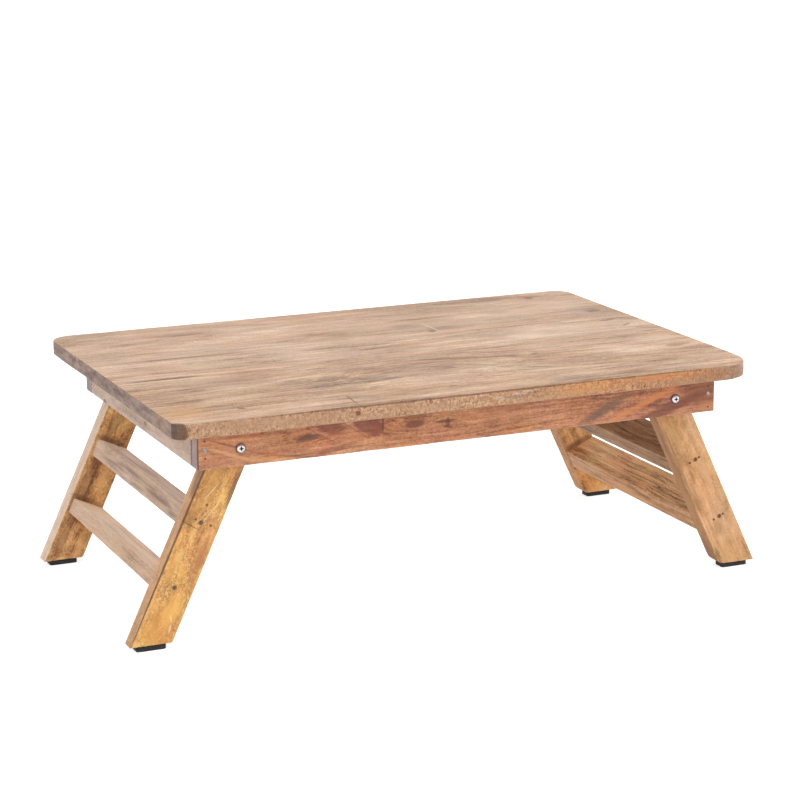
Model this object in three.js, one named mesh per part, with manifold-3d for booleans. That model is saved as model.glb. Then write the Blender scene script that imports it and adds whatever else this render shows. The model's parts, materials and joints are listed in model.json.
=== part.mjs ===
// A low folding table of reclaimed wood. Three lengthwise planks lie on a frame of four
// aprons, and two ladder-like leg frames turn on bolts to fold up flat under the top.
// Lengths are in millimetres. +X runs along the length, +Y away from the front and +Z up.
// The origin is on the floor under the middle of the table.
import * as THREE from 'three';
import { mergeVertices } from 'three/addons/utils/BufferGeometryUtils.js';
import Module from 'manifold-3d';

const wasm = await Module();
wasm.setup();

// Tabletop: its corners were rounded by eye, so no two match
const topLength = 600;
const topDepth = 420;
const topThickness = 15;
const tableHeight = 225.5;
const frontRightCornerRadius = 34;
const backRightCornerRadius = 20;
const backLeftCornerRadius = 24;
const frontLeftCornerRadius = 12;
const topEdgeRound = 2;
const backPlankWidth = 157;
const middlePlankWidth = 83.5;

// Aprons: the long ones run along the front and back and cover the ends of the end ones
const topOverhang = 30.8;
const apronHeight = 37.6;
const longApronThickness = 19.7;
const endApronThickness = 14.5;

// Legs: sawn and drilled by hand, so the two pairs differ in thickness and in how far
// their outer and inner edges lie from the pivot
const legLean = THREE.MathUtils.degToRad(25);
const leftLegOuter = 16.8;
const leftLegInner = 20.4;
const rightLegOuter = 20;
const rightLegInner = 17;
const frontLeftLegThickness = 18;
const backLeftLegThickness = 20;
const rightLegThickness = 21;
const leftLegCornerRadius = 3.5;
const rightLegCornerRadius = 9;

// Rungs: their places are measured down the leg from its pivot
const leftUpperRungPlace = 81;
const leftLowerRungPlace = 146;
const leftUpperRungThickness = 18;
const leftLowerRungThickness = 15.5;
const rightUpperRungPlace = 81.5;
const rightLowerRungPlace = 150.3;
const rightUpperRungThickness = 18;
const rightLowerRungThickness = 20.5;
const leftRungOuterInset = 2.9;
const rightRungOuterInset = 0.2;
const rungInnerInset = 0.5;

// Rubber foot pads
const padLength = 29;
const padDepth = 15;
const padThickness = 5;
const padInset = 6.5;
const padCornerRadius = 2.5;

// Pivot bolts with their washers and lock nuts
const boltRadius = 2;
const boltHeadRadius = 4;
const boltHeadHeight = 2.8;
const boltTail = 1.5;
const boltChamfer = 0.5;
const recessSpan = 4.4;
const recessWidth = 1;
const recessDepth = 1.6;
const washerRadius = 4.5;
const washerThickness = 1;
const nutAcrossFlats = 7;
const nutHeight = 3.2;
const nutCollarRadius = 3.1;
const nutCollarHeight = 1.6;

// Nails and brads
const nailRadius = 1;
const nailHeadRadius = 2.2;
const nailHeadThickness = 0.8;
const nailPoint = 2;
const nailSink = 0.2;
const cornerNailLength = 40;
const rungNailLength = 42;
const topNailLength = 25;
const topNailInset = 76;
const rungNailOutset = 2;
const rungNailLift = 1.5;
const bradRadius = 0.6;
const bradHeadRadius = 0.9;
const bradHeadThickness = 0.6;
const bradLength = 30;

// Broken edges and clearances
const arris = 1;
const seat = 0.3;
const boreClearance = 0.3;
const overrun = 5;

// Steps of round shapes
const arcSteps = 6;
const nailSteps = 8;
const boreSteps = 12;
const headSteps = 16;

// Profile of the bolt's pan head, as shares of its radius and height from the rim inwards
const boltHeadShares = [[1, 0], [1, 0.5], [0.85, 0.82], [0.55, 1]];

// Heights of each corner's two brads above the nail between them, as shares of the apron
const leftBradShares = { upper: 0.22, lower: -0.21 };
const rightBradShares = { upper: 0.19, lower: -0.36 };

// Levels and faces that follow from the sizes above
const underside = tableHeight - topThickness;
const apronTop = underside - seat;
const apronMiddle = apronTop - apronHeight / 2;
const apronBottom = apronTop - apronHeight;
const apronEnd = topLength / 2 - topOverhang;
const apronFace = topDepth / 2 - topOverhang;
const apronBack = apronFace - longApronThickness;
const legFace = apronBack - seat - washerThickness - seat;
const legBottom = padThickness + seat;

// The pivots are just low enough that a folded leg's inner edge clears the underside
const pivotHeight = underside - seat - Math.max(leftLegInner, rightLegInner);

// At rest a leg's outer edge leans on the lower inner edge of the end apron, which sets
// how far from the middle its pivot is
function pivotPlace(legOuter) {
  const stopDrop = Math.sin(legLean) * (pivotHeight - apronBottom);
  return apronEnd - endApronThickness - (legOuter + seat + stopDrop) / Math.cos(legLean);
}

const sides = {
  left: {
    sign: -1,
    pivotX: pivotPlace(leftLegOuter),
    legOuter: leftLegOuter,
    legInner: leftLegInner,
    cornerRadius: leftLegCornerRadius,
    rungOuter: leftLegOuter - leftRungOuterInset,
    rungInner: leftLegInner - rungInnerInset,
    rungs: {
      upper: { place: leftUpperRungPlace, thickness: leftUpperRungThickness },
      lower: { place: leftLowerRungPlace, thickness: leftLowerRungThickness },
    },
    bradShares: leftBradShares,
  },
  right: {
    sign: 1,
    pivotX: pivotPlace(rightLegOuter),
    legOuter: rightLegOuter,
    legInner: rightLegInner,
    cornerRadius: rightLegCornerRadius,
    rungOuter: rightLegOuter - rightRungOuterInset,
    rungInner: rightLegInner - rungInnerInset,
    rungs: {
      upper: { place: rightUpperRungPlace, thickness: rightUpperRungThickness },
      lower: { place: rightLowerRungPlace, thickness: rightLowerRungThickness },
    },
    bradShares: rightBradShares,
  },
};
const ends = { front: -1, back: 1 };
const legThicknesses = {
  front_left: frontLeftLegThickness,
  back_left: backLeftLegThickness,
  front_right: rightLegThickness,
  back_right: rightLegThickness,
};

const wood = (color) => new THREE.MeshStandardMaterial({ color, roughness: 0.8, metalness: 0 });
const materials = {
  top: wood('#c79f7a'),
  longApron: wood('#a3592f'),
  endApron: wood('#b59c8c'),
  leftLeg: wood('#c08a3e'),
  rightLeg: wood('#bb8350'),
  leftRung: wood('#a98b78'),
  rightRung: wood('#a8794e'),
  rubber: new THREE.MeshStandardMaterial({ color: '#262626', roughness: 0.9, metalness: 0 }),
  zinc: new THREE.MeshStandardMaterial({ color: '#d5d8da', roughness: 0.3, metalness: 1 }),
  steel: new THREE.MeshStandardMaterial({ color: '#8b9194', roughness: 0.5, metalness: 1 }),
};

// Solid of a closed geometry, for cutting and joining
function solidOf(geometry) {
  geometry.deleteAttribute('normal');
  geometry.deleteAttribute('uv');
  const merged = mergeVertices(geometry);
  const corners = merged.index.array;
  const triVerts = [];
  for (let i = 0; i < corners.length; i += 3) {
    const [a, b, c] = corners.subarray(i, i + 3);
    if (a !== b && b !== c && c !== a) triVerts.push(a, b, c);
  }
  return new wasm.Manifold(new wasm.Mesh({
    numProp: 3,
    vertProperties: merged.attributes.position.array,
    triVerts: new Uint32Array(triVerts),
  }));
}

// Named sub-part from a solid
function piece(name, solid, material) {
  const { numProp, vertProperties, triVerts } = solid.getMesh();
  const geometry = new THREE.BufferGeometry();
  geometry.setAttribute('position', new THREE.BufferAttribute(vertProperties, numProp));
  geometry.setIndex(new THREE.BufferAttribute(triVerts, 1));
  geometry.computeVertexNormals();
  const mesh = new THREE.Mesh(geometry, material);
  mesh.name = name;
  return mesh;
}

// Board cut to an outline in X and Z, centred on Y, with its face edges broken
function slab(outline, thickness) {
  const geometry = new THREE.ExtrudeGeometry(outline, {
    depth: thickness - 2 * arris,
    bevelThickness: arris,
    bevelSize: arris,
    bevelOffset: -arris,
    bevelSegments: 1,
    curveSegments: arcSteps,
  });
  geometry.translate(0, 0, arris - thickness / 2);
  geometry.rotateX(Math.PI / 2);
  return solidOf(geometry);
}

function rectangle(width, height) {
  return new THREE.Shape([
    new THREE.Vector2(-width / 2, -height / 2),
    new THREE.Vector2(width / 2, -height / 2),
    new THREE.Vector2(width / 2, height / 2),
    new THREE.Vector2(-width / 2, height / 2),
  ]);
}

// Rectangle whose corners have these radii: front right, back right, back left, front left
function roundedRectangle(width, height, radii) {
  const quarter = Math.PI / 2;
  const corners = [[1, -1], [1, 1], [-1, 1], [-1, -1]];
  const shape = new THREE.Shape();
  corners.forEach(([alongX, alongY], turn) => {
    const radius = radii[turn];
    const x = alongX * (width / 2 - radius);
    const y = alongY * (height / 2 - radius);
    shape.absarc(x, y, radius, (turn - 1) * quarter, turn * quarter);
  });
  shape.closePath();
  return shape;
}

// Round solid about Y from a profile of [radius, height] points that starts and ends on it
function turned(profile, steps) {
  return solidOf(new THREE.LatheGeometry(profile.map(([r, y]) => new THREE.Vector2(r, y)), steps));
}

// Nail, brad or bolt shank along -Y, with its head's outer face at the level 0
function nail({ radius, headRadius, headThickness, length }) {
  return turned([
    [0, -length],
    [radius, -length + nailPoint],
    [radius, -headThickness],
    [headRadius, -headThickness],
    [headRadius, 0],
    [0, 0],
  ], nailSteps);
}

// Hole for such a nail, open above its head
function nailHole({ radius, headRadius, headThickness, length }) {
  const bore = radius + boreClearance;
  const sinking = headRadius + boreClearance;
  return turned([
    [0, -length - boreClearance],
    [bore, -length - boreClearance],
    [bore, -headThickness - boreClearance],
    [sinking, -headThickness - boreClearance],
    [sinking, overrun],
    [0, overrun],
  ], nailSteps);
}

// Straight hole along Y
function bore(radius, length) {
  return solidOf(new THREE.CylinderGeometry(radius, radius, length, boreSteps));
}

const wireNail = { radius: nailRadius, headRadius: nailHeadRadius, headThickness: nailHeadThickness };
const cornerNail = { ...wireNail, length: cornerNailLength };
const rungNail = { ...wireNail, length: rungNailLength };
const topNail = { ...wireNail, length: topNailLength };
const brad = {
  radius: bradRadius,
  headRadius: bradHeadRadius,
  headThickness: bradHeadThickness,
  length: bradLength,
};

// Fasteners of one corner of the apron frame: a nail between two brads
function cornerFasteners(side) {
  return {
    corner_nail: { kind: cornerNail, lift: 0 },
    corner_brad_upper: { kind: brad, lift: side.bradShares.upper * apronHeight },
    corner_brad_lower: { kind: brad, lift: side.bradShares.lower * apronHeight },
  };
}

// Solid turned so that what points along +Y points out through the face at that end
function facing(solid, end) {
  return solid.rotate([0, 0, end < 0 ? 180 : 0]);
}

const cornerX = apronEnd - endApronThickness / 2;
const topNailX = topLength / 2 - topNailInset;
const topNailY = apronBack + longApronThickness / 2;

// Holes for all the nails that are driven down through the top
function topNailHoles(baseHeight) {
  const holes = [];
  for (const x of [-topNailX, topNailX]) {
    for (const y of [-topNailY, topNailY]) {
      const height = tableHeight - nailSink - baseHeight;
      holes.push(nailHole(topNail).rotate([90, 0, 0]).translate([x, y, height]));
    }
  }
  return wasm.Manifold.union(holes);
}

// The top is one rounded board, parted into planks along two seams
function planks() {
  const outline = roundedRectangle(topLength, topDepth, [
    frontRightCornerRadius,
    backRightCornerRadius,
    backLeftCornerRadius,
    frontLeftCornerRadius,
  ]);
  const geometry = new THREE.ExtrudeGeometry(outline, {
    depth: topThickness - 2 * topEdgeRound,
    bevelThickness: topEdgeRound,
    bevelSize: topEdgeRound,
    bevelOffset: -topEdgeRound,
    bevelSegments: 2,
    curveSegments: arcSteps,
  });
  geometry.translate(0, 0, topEdgeRound);
  const board = solidOf(geometry).subtract(topNailHoles(underside));
  const backSeam = topDepth / 2 - backPlankWidth;
  const frontSeam = backSeam - middlePlankWidth;
  const spans = {
    top_plank_front: [-topDepth / 2 - overrun, frontSeam - seat / 2],
    top_plank_middle: [frontSeam + seat / 2, backSeam - seat / 2],
    top_plank_back: [backSeam + seat / 2, topDepth / 2 + overrun],
  };
  const group = new THREE.Group();
  group.position.z = underside;
  for (const [name, [from, to]] of Object.entries(spans)) {
    const span = new THREE.BoxGeometry(topLength + overrun, to - from, topThickness + overrun);
    span.translate(0, (from + to) / 2, topThickness / 2);
    group.add(piece(name, board.intersect(solidOf(span)), materials.top));
  }
  return group;
}

// Long apron with its pivot bores and the holes of its nails and brads
function longApron(name, end) {
  let solid = slab(rectangle(2 * apronEnd, apronHeight), longApronThickness);
  const middleY = end * (apronFace - longApronThickness / 2);
  for (const side of Object.values(sides)) {
    const pivotBore = bore(boltRadius + boreClearance, longApronThickness + overrun);
    solid = solid.subtract(pivotBore.translate([side.sign * side.pivotX, 0, pivotHeight - apronMiddle]));
    for (const { kind, lift } of Object.values(cornerFasteners(side))) {
      const hole = facing(nailHole(kind), end);
      const face = end * (longApronThickness / 2 - nailSink);
      solid = solid.subtract(hole.translate([side.sign * cornerX, face, lift]));
    }
  }
  solid = solid.subtract(topNailHoles(apronMiddle).translate([0, -middleY, 0]));
  const mesh = piece(name, solid, materials.longApron);
  mesh.position.set(0, middleY, apronMiddle);
  return mesh;
}

// End apron between the long ones, nailed through them into its end grain
function endApron(name, side) {
  const length = 2 * (apronBack - seat);
  let solid = slab(rectangle(length, apronHeight), endApronThickness).rotate([0, 0, 90]);
  for (const end of Object.values(ends)) {
    for (const { kind, lift } of Object.values(cornerFasteners(side))) {
      const hole = facing(nailHole(kind), end);
      solid = solid.subtract(hole.translate([0, end * (apronFace - nailSink), lift]));
    }
  }
  const mesh = piece(name, solid, materials.endApron);
  mesh.position.set(side.sign * cornerX, 0, apronMiddle);
  return mesh;
}

// Nails and brads of the apron corners, and the nails that hold the top down
function tableNails() {
  const group = new THREE.Group();
  for (const [endName, end] of Object.entries(ends)) {
    for (const [sideName, side] of Object.entries(sides)) {
      for (const [kindName, { kind, lift }] of Object.entries(cornerFasteners(side))) {
        const mesh = piece(`${kindName}_${endName}_${sideName}`, facing(nail(kind), end), materials.steel);
        mesh.position.set(side.sign * cornerX, end * (apronFace - nailSink), apronMiddle + lift);
        group.add(mesh);
      }
      const mesh = piece(`top_nail_${endName}_${sideName}`, nail(topNail), materials.steel);
      mesh.rotation.x = Math.PI / 2;
      mesh.position.set(side.sign * topNailX, end * topNailY, tableHeight - nailSink);
      group.add(mesh);
    }
  }
  return group;
}

// Flat ring about Y whose outer face is at the level 0
function washer() {
  const hole = boltRadius + boreClearance;
  return turned([
    [hole, -washerThickness],
    [washerRadius, -washerThickness],
    [washerRadius, 0],
    [hole, 0],
    [hole, -washerThickness],
  ], headSteps);
}

// Lock nut about Y whose outer face is at the level 0, with its collar on the inner side
function lockNut() {
  const hexRadius = nutAcrossFlats / 2 / Math.cos(Math.PI / 6);
  const hexagon = new THREE.CylinderGeometry(hexRadius, hexRadius, nutHeight, 6);
  hexagon.translate(0, -nutHeight / 2, 0);
  const height = nutHeight + nutCollarHeight;
  const collar = new THREE.CylinderGeometry(nutCollarRadius, nutCollarRadius, height, boreSteps);
  collar.translate(0, -height / 2, 0);
  const hole = bore(boltRadius + boreClearance, 2 * (height + overrun));
  return solidOf(hexagon).add(solidOf(collar)).subtract(hole);
}

// Pan-head bolt about Y, its head bearing on the level 0, with a cross recess
function pivotBolt(length) {
  const head = boltHeadShares.map(([r, y]) => [r * boltHeadRadius, y * boltHeadHeight]);
  const solid = turned([
    [0, -length],
    [boltRadius - boltChamfer, -length],
    [boltRadius, -length + boltChamfer],
    [boltRadius, 0],
    ...head,
    [0, boltHeadHeight],
  ], headSteps);
  const slot = new THREE.BoxGeometry(recessSpan, 2 * recessDepth, recessWidth);
  slot.translate(0, boltHeadHeight, 0);
  const cross = solidOf(slot);
  return solid.subtract(cross).subtract(cross.rotate([0, 90, 0]));
}

// Bolt, washers and nut of one pivot, stacked inwards from the apron's outer face
function pivotHardware(corner, side, end) {
  const group = new THREE.Group();
  group.position.set(side.sign * side.pivotX, end * apronFace, pivotHeight);
  group.rotation.z = end < 0 ? Math.PI : 0;
  const spacerLevel = -longApronThickness - seat;
  const innerWasherLevel = spacerLevel - washerThickness - seat - legThicknesses[corner] - seat;
  const nutLevel = innerWasherLevel - washerThickness - seat;
  const boltLength = -nutLevel + nutHeight + nutCollarHeight + boltTail + seat;
  const stack = {
    pivot_bolt: [pivotBolt(boltLength), seat],
    spacer_washer: [washer(), spacerLevel],
    nut_washer: [washer(), innerWasherLevel],
    lock_nut: [lockNut(), nutLevel],
  };
  for (const [name, [solid, level]] of Object.entries(stack)) {
    const mesh = piece(`${name}_${corner}`, solid, materials.zinc);
    mesh.position.y = level;
    group.add(mesh);
  }
  return group;
}

// Drop from the pivot to the slanted bottom cut, measured down the leg, at a distance
// outwards from the leg's centre line
function cutPlace(outwards, lift = 0) {
  const fall = pivotHeight - legBottom - lift;
  return (fall + outwards * Math.sin(legLean)) / Math.cos(legLean);
}

// Outline of a leg in its leaning frame: X outwards and Y up along the leg from the pivot.
// The top end is round about the pivot, and the lower inner corner is rounded off.
function legOutline({ legOuter, legInner, cornerRadius }) {
  const endRadius = Math.max(legOuter, legInner);
  const from = Math.acos(legOuter / endRadius);
  const to = Math.PI - Math.acos(legInner / endRadius);
  const cornerX = cornerRadius - legInner;
  const cornerY = -cutPlace(cornerX, cornerRadius);
  const shape = new THREE.Shape();
  shape.absarc(0, 0, endRadius, from, to);
  shape.absarc(cornerX, cornerY, cornerRadius, Math.PI, 1.5 * Math.PI - legLean);
  shape.lineTo(legOuter, -cutPlace(legOuter));
  shape.closePath();
  return shape;
}

// Leg with its pivot bore and the holes of its rung nails, whose heads are on the given side
function leg(side, thickness, nailX, across) {
  let solid = slab(legOutline(side), thickness);
  solid = solid.subtract(bore(boltRadius + boreClearance, thickness + overrun));
  for (const rung of Object.values(side.rungs)) {
    const hole = facing(nailHole(rungNail), across);
    const level = across * (thickness / 2 - nailSink);
    solid = solid.subtract(hole.translate([nailX, level, rungNailLift - rung.place]));
  }
  return solid;
}

// Pad under the slanted foot of a leg, in the upright frame of the pivot
function footPad() {
  const outline = roundedRectangle(padLength, padDepth, Array(4).fill(padCornerRadius));
  const geometry = new THREE.ExtrudeGeometry(outline, {
    depth: padThickness,
    bevelEnabled: false,
    curveSegments: arcSteps / 2,
  });
  return solidOf(geometry);
}

// One leg frame: two legs, two rungs between them, their nails and the foot pads. It is
// built with X outwards, so the left one is turned half round about Z.
function legFrame(sideName, side) {
  const frame = new THREE.Group();
  frame.position.set(side.sign * side.pivotX, 0, pivotHeight);
  frame.rotation.z = side.sign < 0 ? Math.PI : 0;
  const leaning = new THREE.Group();
  leaning.rotation.y = -legLean;
  frame.add(leaning);

  const rungWidth = side.rungOuter + side.rungInner;
  const rungX = side.rungOuter - rungWidth / 2;
  const nailX = rungX + rungNailOutset;
  const footOuter = side.legOuter * Math.cos(legLean) + cutPlace(side.legOuter) * Math.sin(legLean);
  const innerFaces = [];

  for (const [endName, end] of Object.entries(ends)) {
    const corner = `${endName}_${sideName}`;
    const across = end * side.sign;
    const thickness = legThicknesses[corner];
    const legMiddle = across * (legFace - thickness / 2);
    innerFaces.push(legMiddle - across * (thickness / 2 + seat));

    const legSolid = leg(side, thickness, nailX, across);
    const legMesh = piece(`leg_${corner}`, legSolid, materials[`${sideName}Leg`]);
    legMesh.position.y = legMiddle;
    leaning.add(legMesh);

    const pad = piece(`foot_pad_${corner}`, footPad(), materials.rubber);
    pad.position.set(footOuter - padInset - padLength / 2, legMiddle, -pivotHeight);
    frame.add(pad);

    for (const [rungName, rung] of Object.entries(side.rungs)) {
      const nailName = `rung_nail_${rungName}_${corner}`;
      const nailMesh = piece(nailName, facing(nail(rungNail), across), materials.steel);
      nailMesh.position.set(nailX, across * (legFace - nailSink), rungNailLift - rung.place);
      leaning.add(nailMesh);
    }
  }

  const rungLength = Math.abs(innerFaces[0] - innerFaces[1]);
  const rungY = (innerFaces[0] + innerFaces[1]) / 2;
  for (const [rungName, rung] of Object.entries(side.rungs)) {
    let solid = slab(rectangle(rungLength, rung.thickness), rungWidth).rotate([0, 0, 90]);
    for (const across of Object.values(ends)) {
      const hole = facing(nailHole(rungNail), across);
      const level = across * (legFace - nailSink) - rungY;
      solid = solid.subtract(hole.translate([rungNailOutset, level, rungNailLift]));
    }
    const mesh = piece(`rung_${rungName}_${sideName}`, solid, materials[`${sideName}Rung`]);
    mesh.position.set(rungX, rungY, -rung.place);
    leaning.add(mesh);
  }
  return frame;
}

const table = new THREE.Group();
table.add(planks());
for (const [endName, end] of Object.entries(ends)) {
  table.add(longApron(`apron_${endName}`, end));
  for (const [sideName, side] of Object.entries(sides)) {
    table.add(pivotHardware(`${endName}_${sideName}`, side, end));
  }
}
table.add(tableNails());
for (const [sideName, side] of Object.entries(sides)) {
  table.add(endApron(`apron_${sideName}`, side));
  table.add(legFrame(sideName, side));
}

export default table;
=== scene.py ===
"""Looks of a bajot: a folding low table of reclaimed wood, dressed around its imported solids.

Sizes in the tables are in millimetres, as in the drawing of the part. Every board is built
lying along X, with its width along Y and its thickness along Z, and is then set in place, so
that its material finds the grain along X. Tones are written as they look on a screen, 0 to 255.
"""

import json
import math

import bmesh
import bpy
import numpy as np
from mathutils import Matrix, Vector, noise

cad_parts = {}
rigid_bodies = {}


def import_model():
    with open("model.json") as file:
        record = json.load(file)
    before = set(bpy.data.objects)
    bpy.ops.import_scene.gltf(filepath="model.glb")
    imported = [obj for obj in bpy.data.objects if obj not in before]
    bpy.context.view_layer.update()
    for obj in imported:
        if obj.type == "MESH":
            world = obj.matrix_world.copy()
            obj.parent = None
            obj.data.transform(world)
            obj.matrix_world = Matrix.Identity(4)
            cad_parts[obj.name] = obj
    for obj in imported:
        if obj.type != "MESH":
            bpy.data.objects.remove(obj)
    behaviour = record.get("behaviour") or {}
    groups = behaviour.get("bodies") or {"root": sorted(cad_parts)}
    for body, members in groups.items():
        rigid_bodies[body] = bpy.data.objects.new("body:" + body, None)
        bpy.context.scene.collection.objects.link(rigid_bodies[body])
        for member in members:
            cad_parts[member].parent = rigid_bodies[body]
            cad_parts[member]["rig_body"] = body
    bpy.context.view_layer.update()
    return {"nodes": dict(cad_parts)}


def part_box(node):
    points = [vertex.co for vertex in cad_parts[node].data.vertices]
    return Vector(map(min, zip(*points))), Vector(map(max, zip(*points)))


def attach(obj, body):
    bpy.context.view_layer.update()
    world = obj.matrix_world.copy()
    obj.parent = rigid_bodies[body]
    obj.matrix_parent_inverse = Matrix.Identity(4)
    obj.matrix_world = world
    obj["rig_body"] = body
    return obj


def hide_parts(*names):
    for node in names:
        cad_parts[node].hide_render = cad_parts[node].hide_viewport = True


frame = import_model()

MM = 0.001

# Camera: where it stands, how it is turned, and its framing on a square picture
PICTURE_SIDE = 800
CAMERA_PLACE = (-946.28, -2219.04, 749.1)
CAMERA_YAW = 22.83
CAMERA_PITCH = -13.22
CAMERA_ROLL = -0.6
CAMERA_FOCUS = 2446.42 / PICTURE_SIDE
CAMERA_SHIFT = (18.25 / PICTURE_SIDE, -9.13 / PICTURE_SIDE)
SENSOR = 36.0
VIEW_REACH = 100.0

# Studio: light all round, glow of the floor as the camera sees it, and lamps
AMBIENT = 0.88
FLOOR_GLOW = 0.66
FLOOR_HALF = 30.0
LAMPS = [
    # name, place in metres, what it points at, size in metres, power in watts
    ("key_overhead", (0.5, -0.4, 2.6), (0, 0, 0.2), 2.2, 9.0),
    ("front_fill", (-1.6, -3.2, 1.4), (0, 0, 0.15), 2.4, 12.0),
    ("front_right", (1.9, -2.6, 0.45), (0, 0, 0.12), 1.4, 9.0),
    ("left_fill", (-3.0, -0.9, 0.7), (0, 0, 0.1), 1.8, 11.0),
    ("right_fill", (2.6, 0.2, 0.12), (0, 0, 0.1), 1.0, 24.0),
]

# Levels and faces of the table
TOP_MIDDLE = 218.0
TOP_HALF = (300.0, 210.0)
TOP_THICKNESS = 15.0
TOP_CORNERS = {"front": (12.0, 34.0), "back": (24.0, 20.0)}
RIGHT_EDGE_WEAR = 2.2
RIGHT_EDGE_WORN_FROM = -130.0
TOP_ARRIS = 1.2
SEAM_ARRIS = 0.45
PLANKS = {"front": (-210.0, -30.6), "middle": (-30.3, 52.8), "back": (53.1, 210.0)}

APRON_MIDDLE = 191.4
APRON_HEIGHT = 37.6
LONG_APRON = {"half": 269.2, "face": 179.2, "thickness": 19.7, "slot": "long_apron_wood"}
END_APRON = {"half": 159.2, "face": 269.2, "thickness": 14.5, "slot": "end_apron_wood"}

PIVOT_HEIGHT = 189.8
LEG_FACE = 157.9
LEG_BOTTOM = 5.3
LEAN = math.radians(25)

# The two leg frames: which way they stand, where their legs turn, how far a leg and a rung reach
# outwards and inwards from there, the corner of the foot, and each rung's place and thickness
SIDES = {
    "left": {
        "out": -1, "pivot": 227.81, "outer": 16.8, "inner": 20.4, "corner": 3.5,
        "rung_outer": 13.9, "rung_inner": 19.9,
        "rungs": {"upper": (81.0, 18.0), "lower": (146.0, 15.5)},
    },
    "right": {
        "out": 1, "pivot": 224.28, "outer": 20.0, "inner": 17.0, "corner": 9.0,
        "rung_outer": 19.8, "rung_inner": 16.5,
        "rungs": {"upper": (81.5, 18.0), "lower": (150.3, 20.5)},
    },
}
ENDS = {"front": -1, "back": 1}
LEG_THICKNESS = {"front_left": 18.0, "back_left": 20.0, "front_right": 21.0, "back_right": 21.0}
RUNG_GAP = 0.3
RUNG_NAIL_OUT = 2.0
RUNG_NAIL_LIFT = 1.5
LEG_BRADS = (-7.0, 4.4)

# Detail of the boards: step of their faces, rounding of their edges, and wear
STEP = 4.0
FINE_STEP = 2.0
BOARD_ARRIS = 1.0
WEAR_DEPTH = 0.7
WAVE_DEPTH = 0.22
SAME_PLACE = 0.05
SQUARE_CORNERS = ((BOARD_ARRIS,), (BOARD_ARRIS,))


def linear(tone):
    """Colour for a shader from one written as it looks on a screen."""
    shares = [value / 255 for value in tone]
    return [s / 12.92 if s <= 0.04045 else ((s + 0.055) / 1.055) ** 2.4 for s in shares] + [1.0]


def scaled(tone, share):
    return [value * share for value in tone]


def shaded(stops, share):
    """Stops of a ramp with their tones scaled."""
    return [(place, scaled(tone, share)) for place, tone in stops]


def corners():
    """Names of the table's four corners, each with its side and its end."""
    for side_name in SIDES:
        for end_name in ENDS:
            yield f"{end_name}_{side_name}", side_name, end_name


# Materials


class Paint:
    """The nodes of a material or world. Each call adds a node and returns its output."""

    def __init__(self, owner):
        self.owner = owner
        owner.use_nodes = True
        self.tree = owner.node_tree
        self.tree.nodes.clear()

    def node(self, kind, inputs=(), output=0, **settings):
        made = self.tree.nodes.new("ShaderNode" + kind)
        for key, value in settings.items():
            setattr(made, key, value)
        for key, value in dict(inputs).items():
            if isinstance(value, bpy.types.NodeSocket):
                self.tree.links.new(value, made.inputs[key])
            else:
                made.inputs[key].default_value = value
        return made.outputs[output] if made.outputs else None

    def math(self, operation, *values):
        return self.node("Math", enumerate(values), operation=operation)

    def line(self, value, slope, start):
        """value x slope + start"""
        return self.math("MULTIPLY_ADD", value, slope, start)

    def times(self, first, *others):
        for other in others:
            first = self.math("MULTIPLY", first, other)
        return first

    def vector(self, operation, *values, output=0):
        return self.node("VectorMath", enumerate(values), output, operation=operation)

    def length(self, value):
        return self.vector("LENGTH", value, output="Value")

    def scale(self, value, low, high, to_low, to_high, **settings):
        return self.node("MapRange", enumerate((value, low, high, to_low, to_high)), **settings)

    def span(self, value, low, high, to_low=0.0, to_high=1.0):
        return self.scale(value, low, high, to_low, to_high, interpolation_type="SMOOTHSTEP")

    def mix(self, share, one, other, mode="MIX"):
        inputs = {0: share, 6: one, 7: other}
        return self.node("Mix", inputs, 2, data_type="RGBA", blend_type=mode)

    def tinted(self, colour, tint):
        return self.mix(1.0, colour, tint, "MULTIPLY")

    def noise(self, place, stretch, seed=0.0, detail=3.0, roughness=0.55, output=0):
        """Noise whose cells are 1 / stretch mm long along X, Y and Z."""
        shift = (seed * 7.31 + 3.1, seed * 3.77 - 1.7, seed * 5.19 + 0.6)
        moved = self.vector("MULTIPLY_ADD", place, stretch, shift)
        inputs = {"Vector": moved, "Scale": 1.0, "Detail": detail, "Roughness": roughness}
        return self.node("TexNoise", inputs, output)

    def ramp(self, value, stops):
        made = self.tree.nodes.new("ShaderNodeValToRGB")
        points = made.color_ramp.elements
        points[0].position, points[1].position = stops[0][0], stops[-1][0]
        for place, _ in stops[1:-1]:
            points.new(place)
        for point, (_, tone) in zip(points, stops):
            point.color = linear(tone)
        self.tree.links.new(value, made.inputs[0])
        return made.outputs[0]

    def axis(self, place, axis):
        return self.node("SeparateXYZ", {0: place}, axis)

    def object_place(self):
        """Place on a piece, in mm."""
        return self.vector("MULTIPLY", self.node("TexCoord", output="Object"), (1 / MM,) * 3)

    def bump(self, height, depth, strength=0.6):
        """Relief of the given depth in mm."""
        return self.node("Bump", {"Height": height, "Distance": depth * MM, "Strength": strength})

    def seen(self):
        """1 for what the camera sees, directly, in a gloss or through a clear piece."""
        camera, glossy, through = (self.node("LightPath", output=f"Is {kind} Ray")
                                   for kind in ("Camera", "Glossy", "Transmission"))
        return self.math("MAXIMUM", self.math("MAXIMUM", camera, glossy), through)

    def surface(self, **inputs):
        """The finished material. An input's name may use _ for a space."""
        named = {key.replace("_", " "): value for key, value in inputs.items()}
        self.node("OutputMaterial", {"Surface": self.node("BsdfPrincipled", named)})
        return self.owner


def new_paint(name):
    return Paint(bpy.data.materials.new(name))


def mark(place, size, tone, share, ragged, soft, turn=0.0):
    """A stain, knot, crack, patch, painted shadow or painted light on a board: an ellipsoid in the board's
    own frame.
    """
    return dict(place=place, size=size, tone=tone, share=share, ragged=ragged, soft=soft, turn=turn)


def rows_of(table):
    """Numbers of a table, line by line."""
    return [[float(word) for word in line.split()] for line in table.strip().split("\n")]


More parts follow.
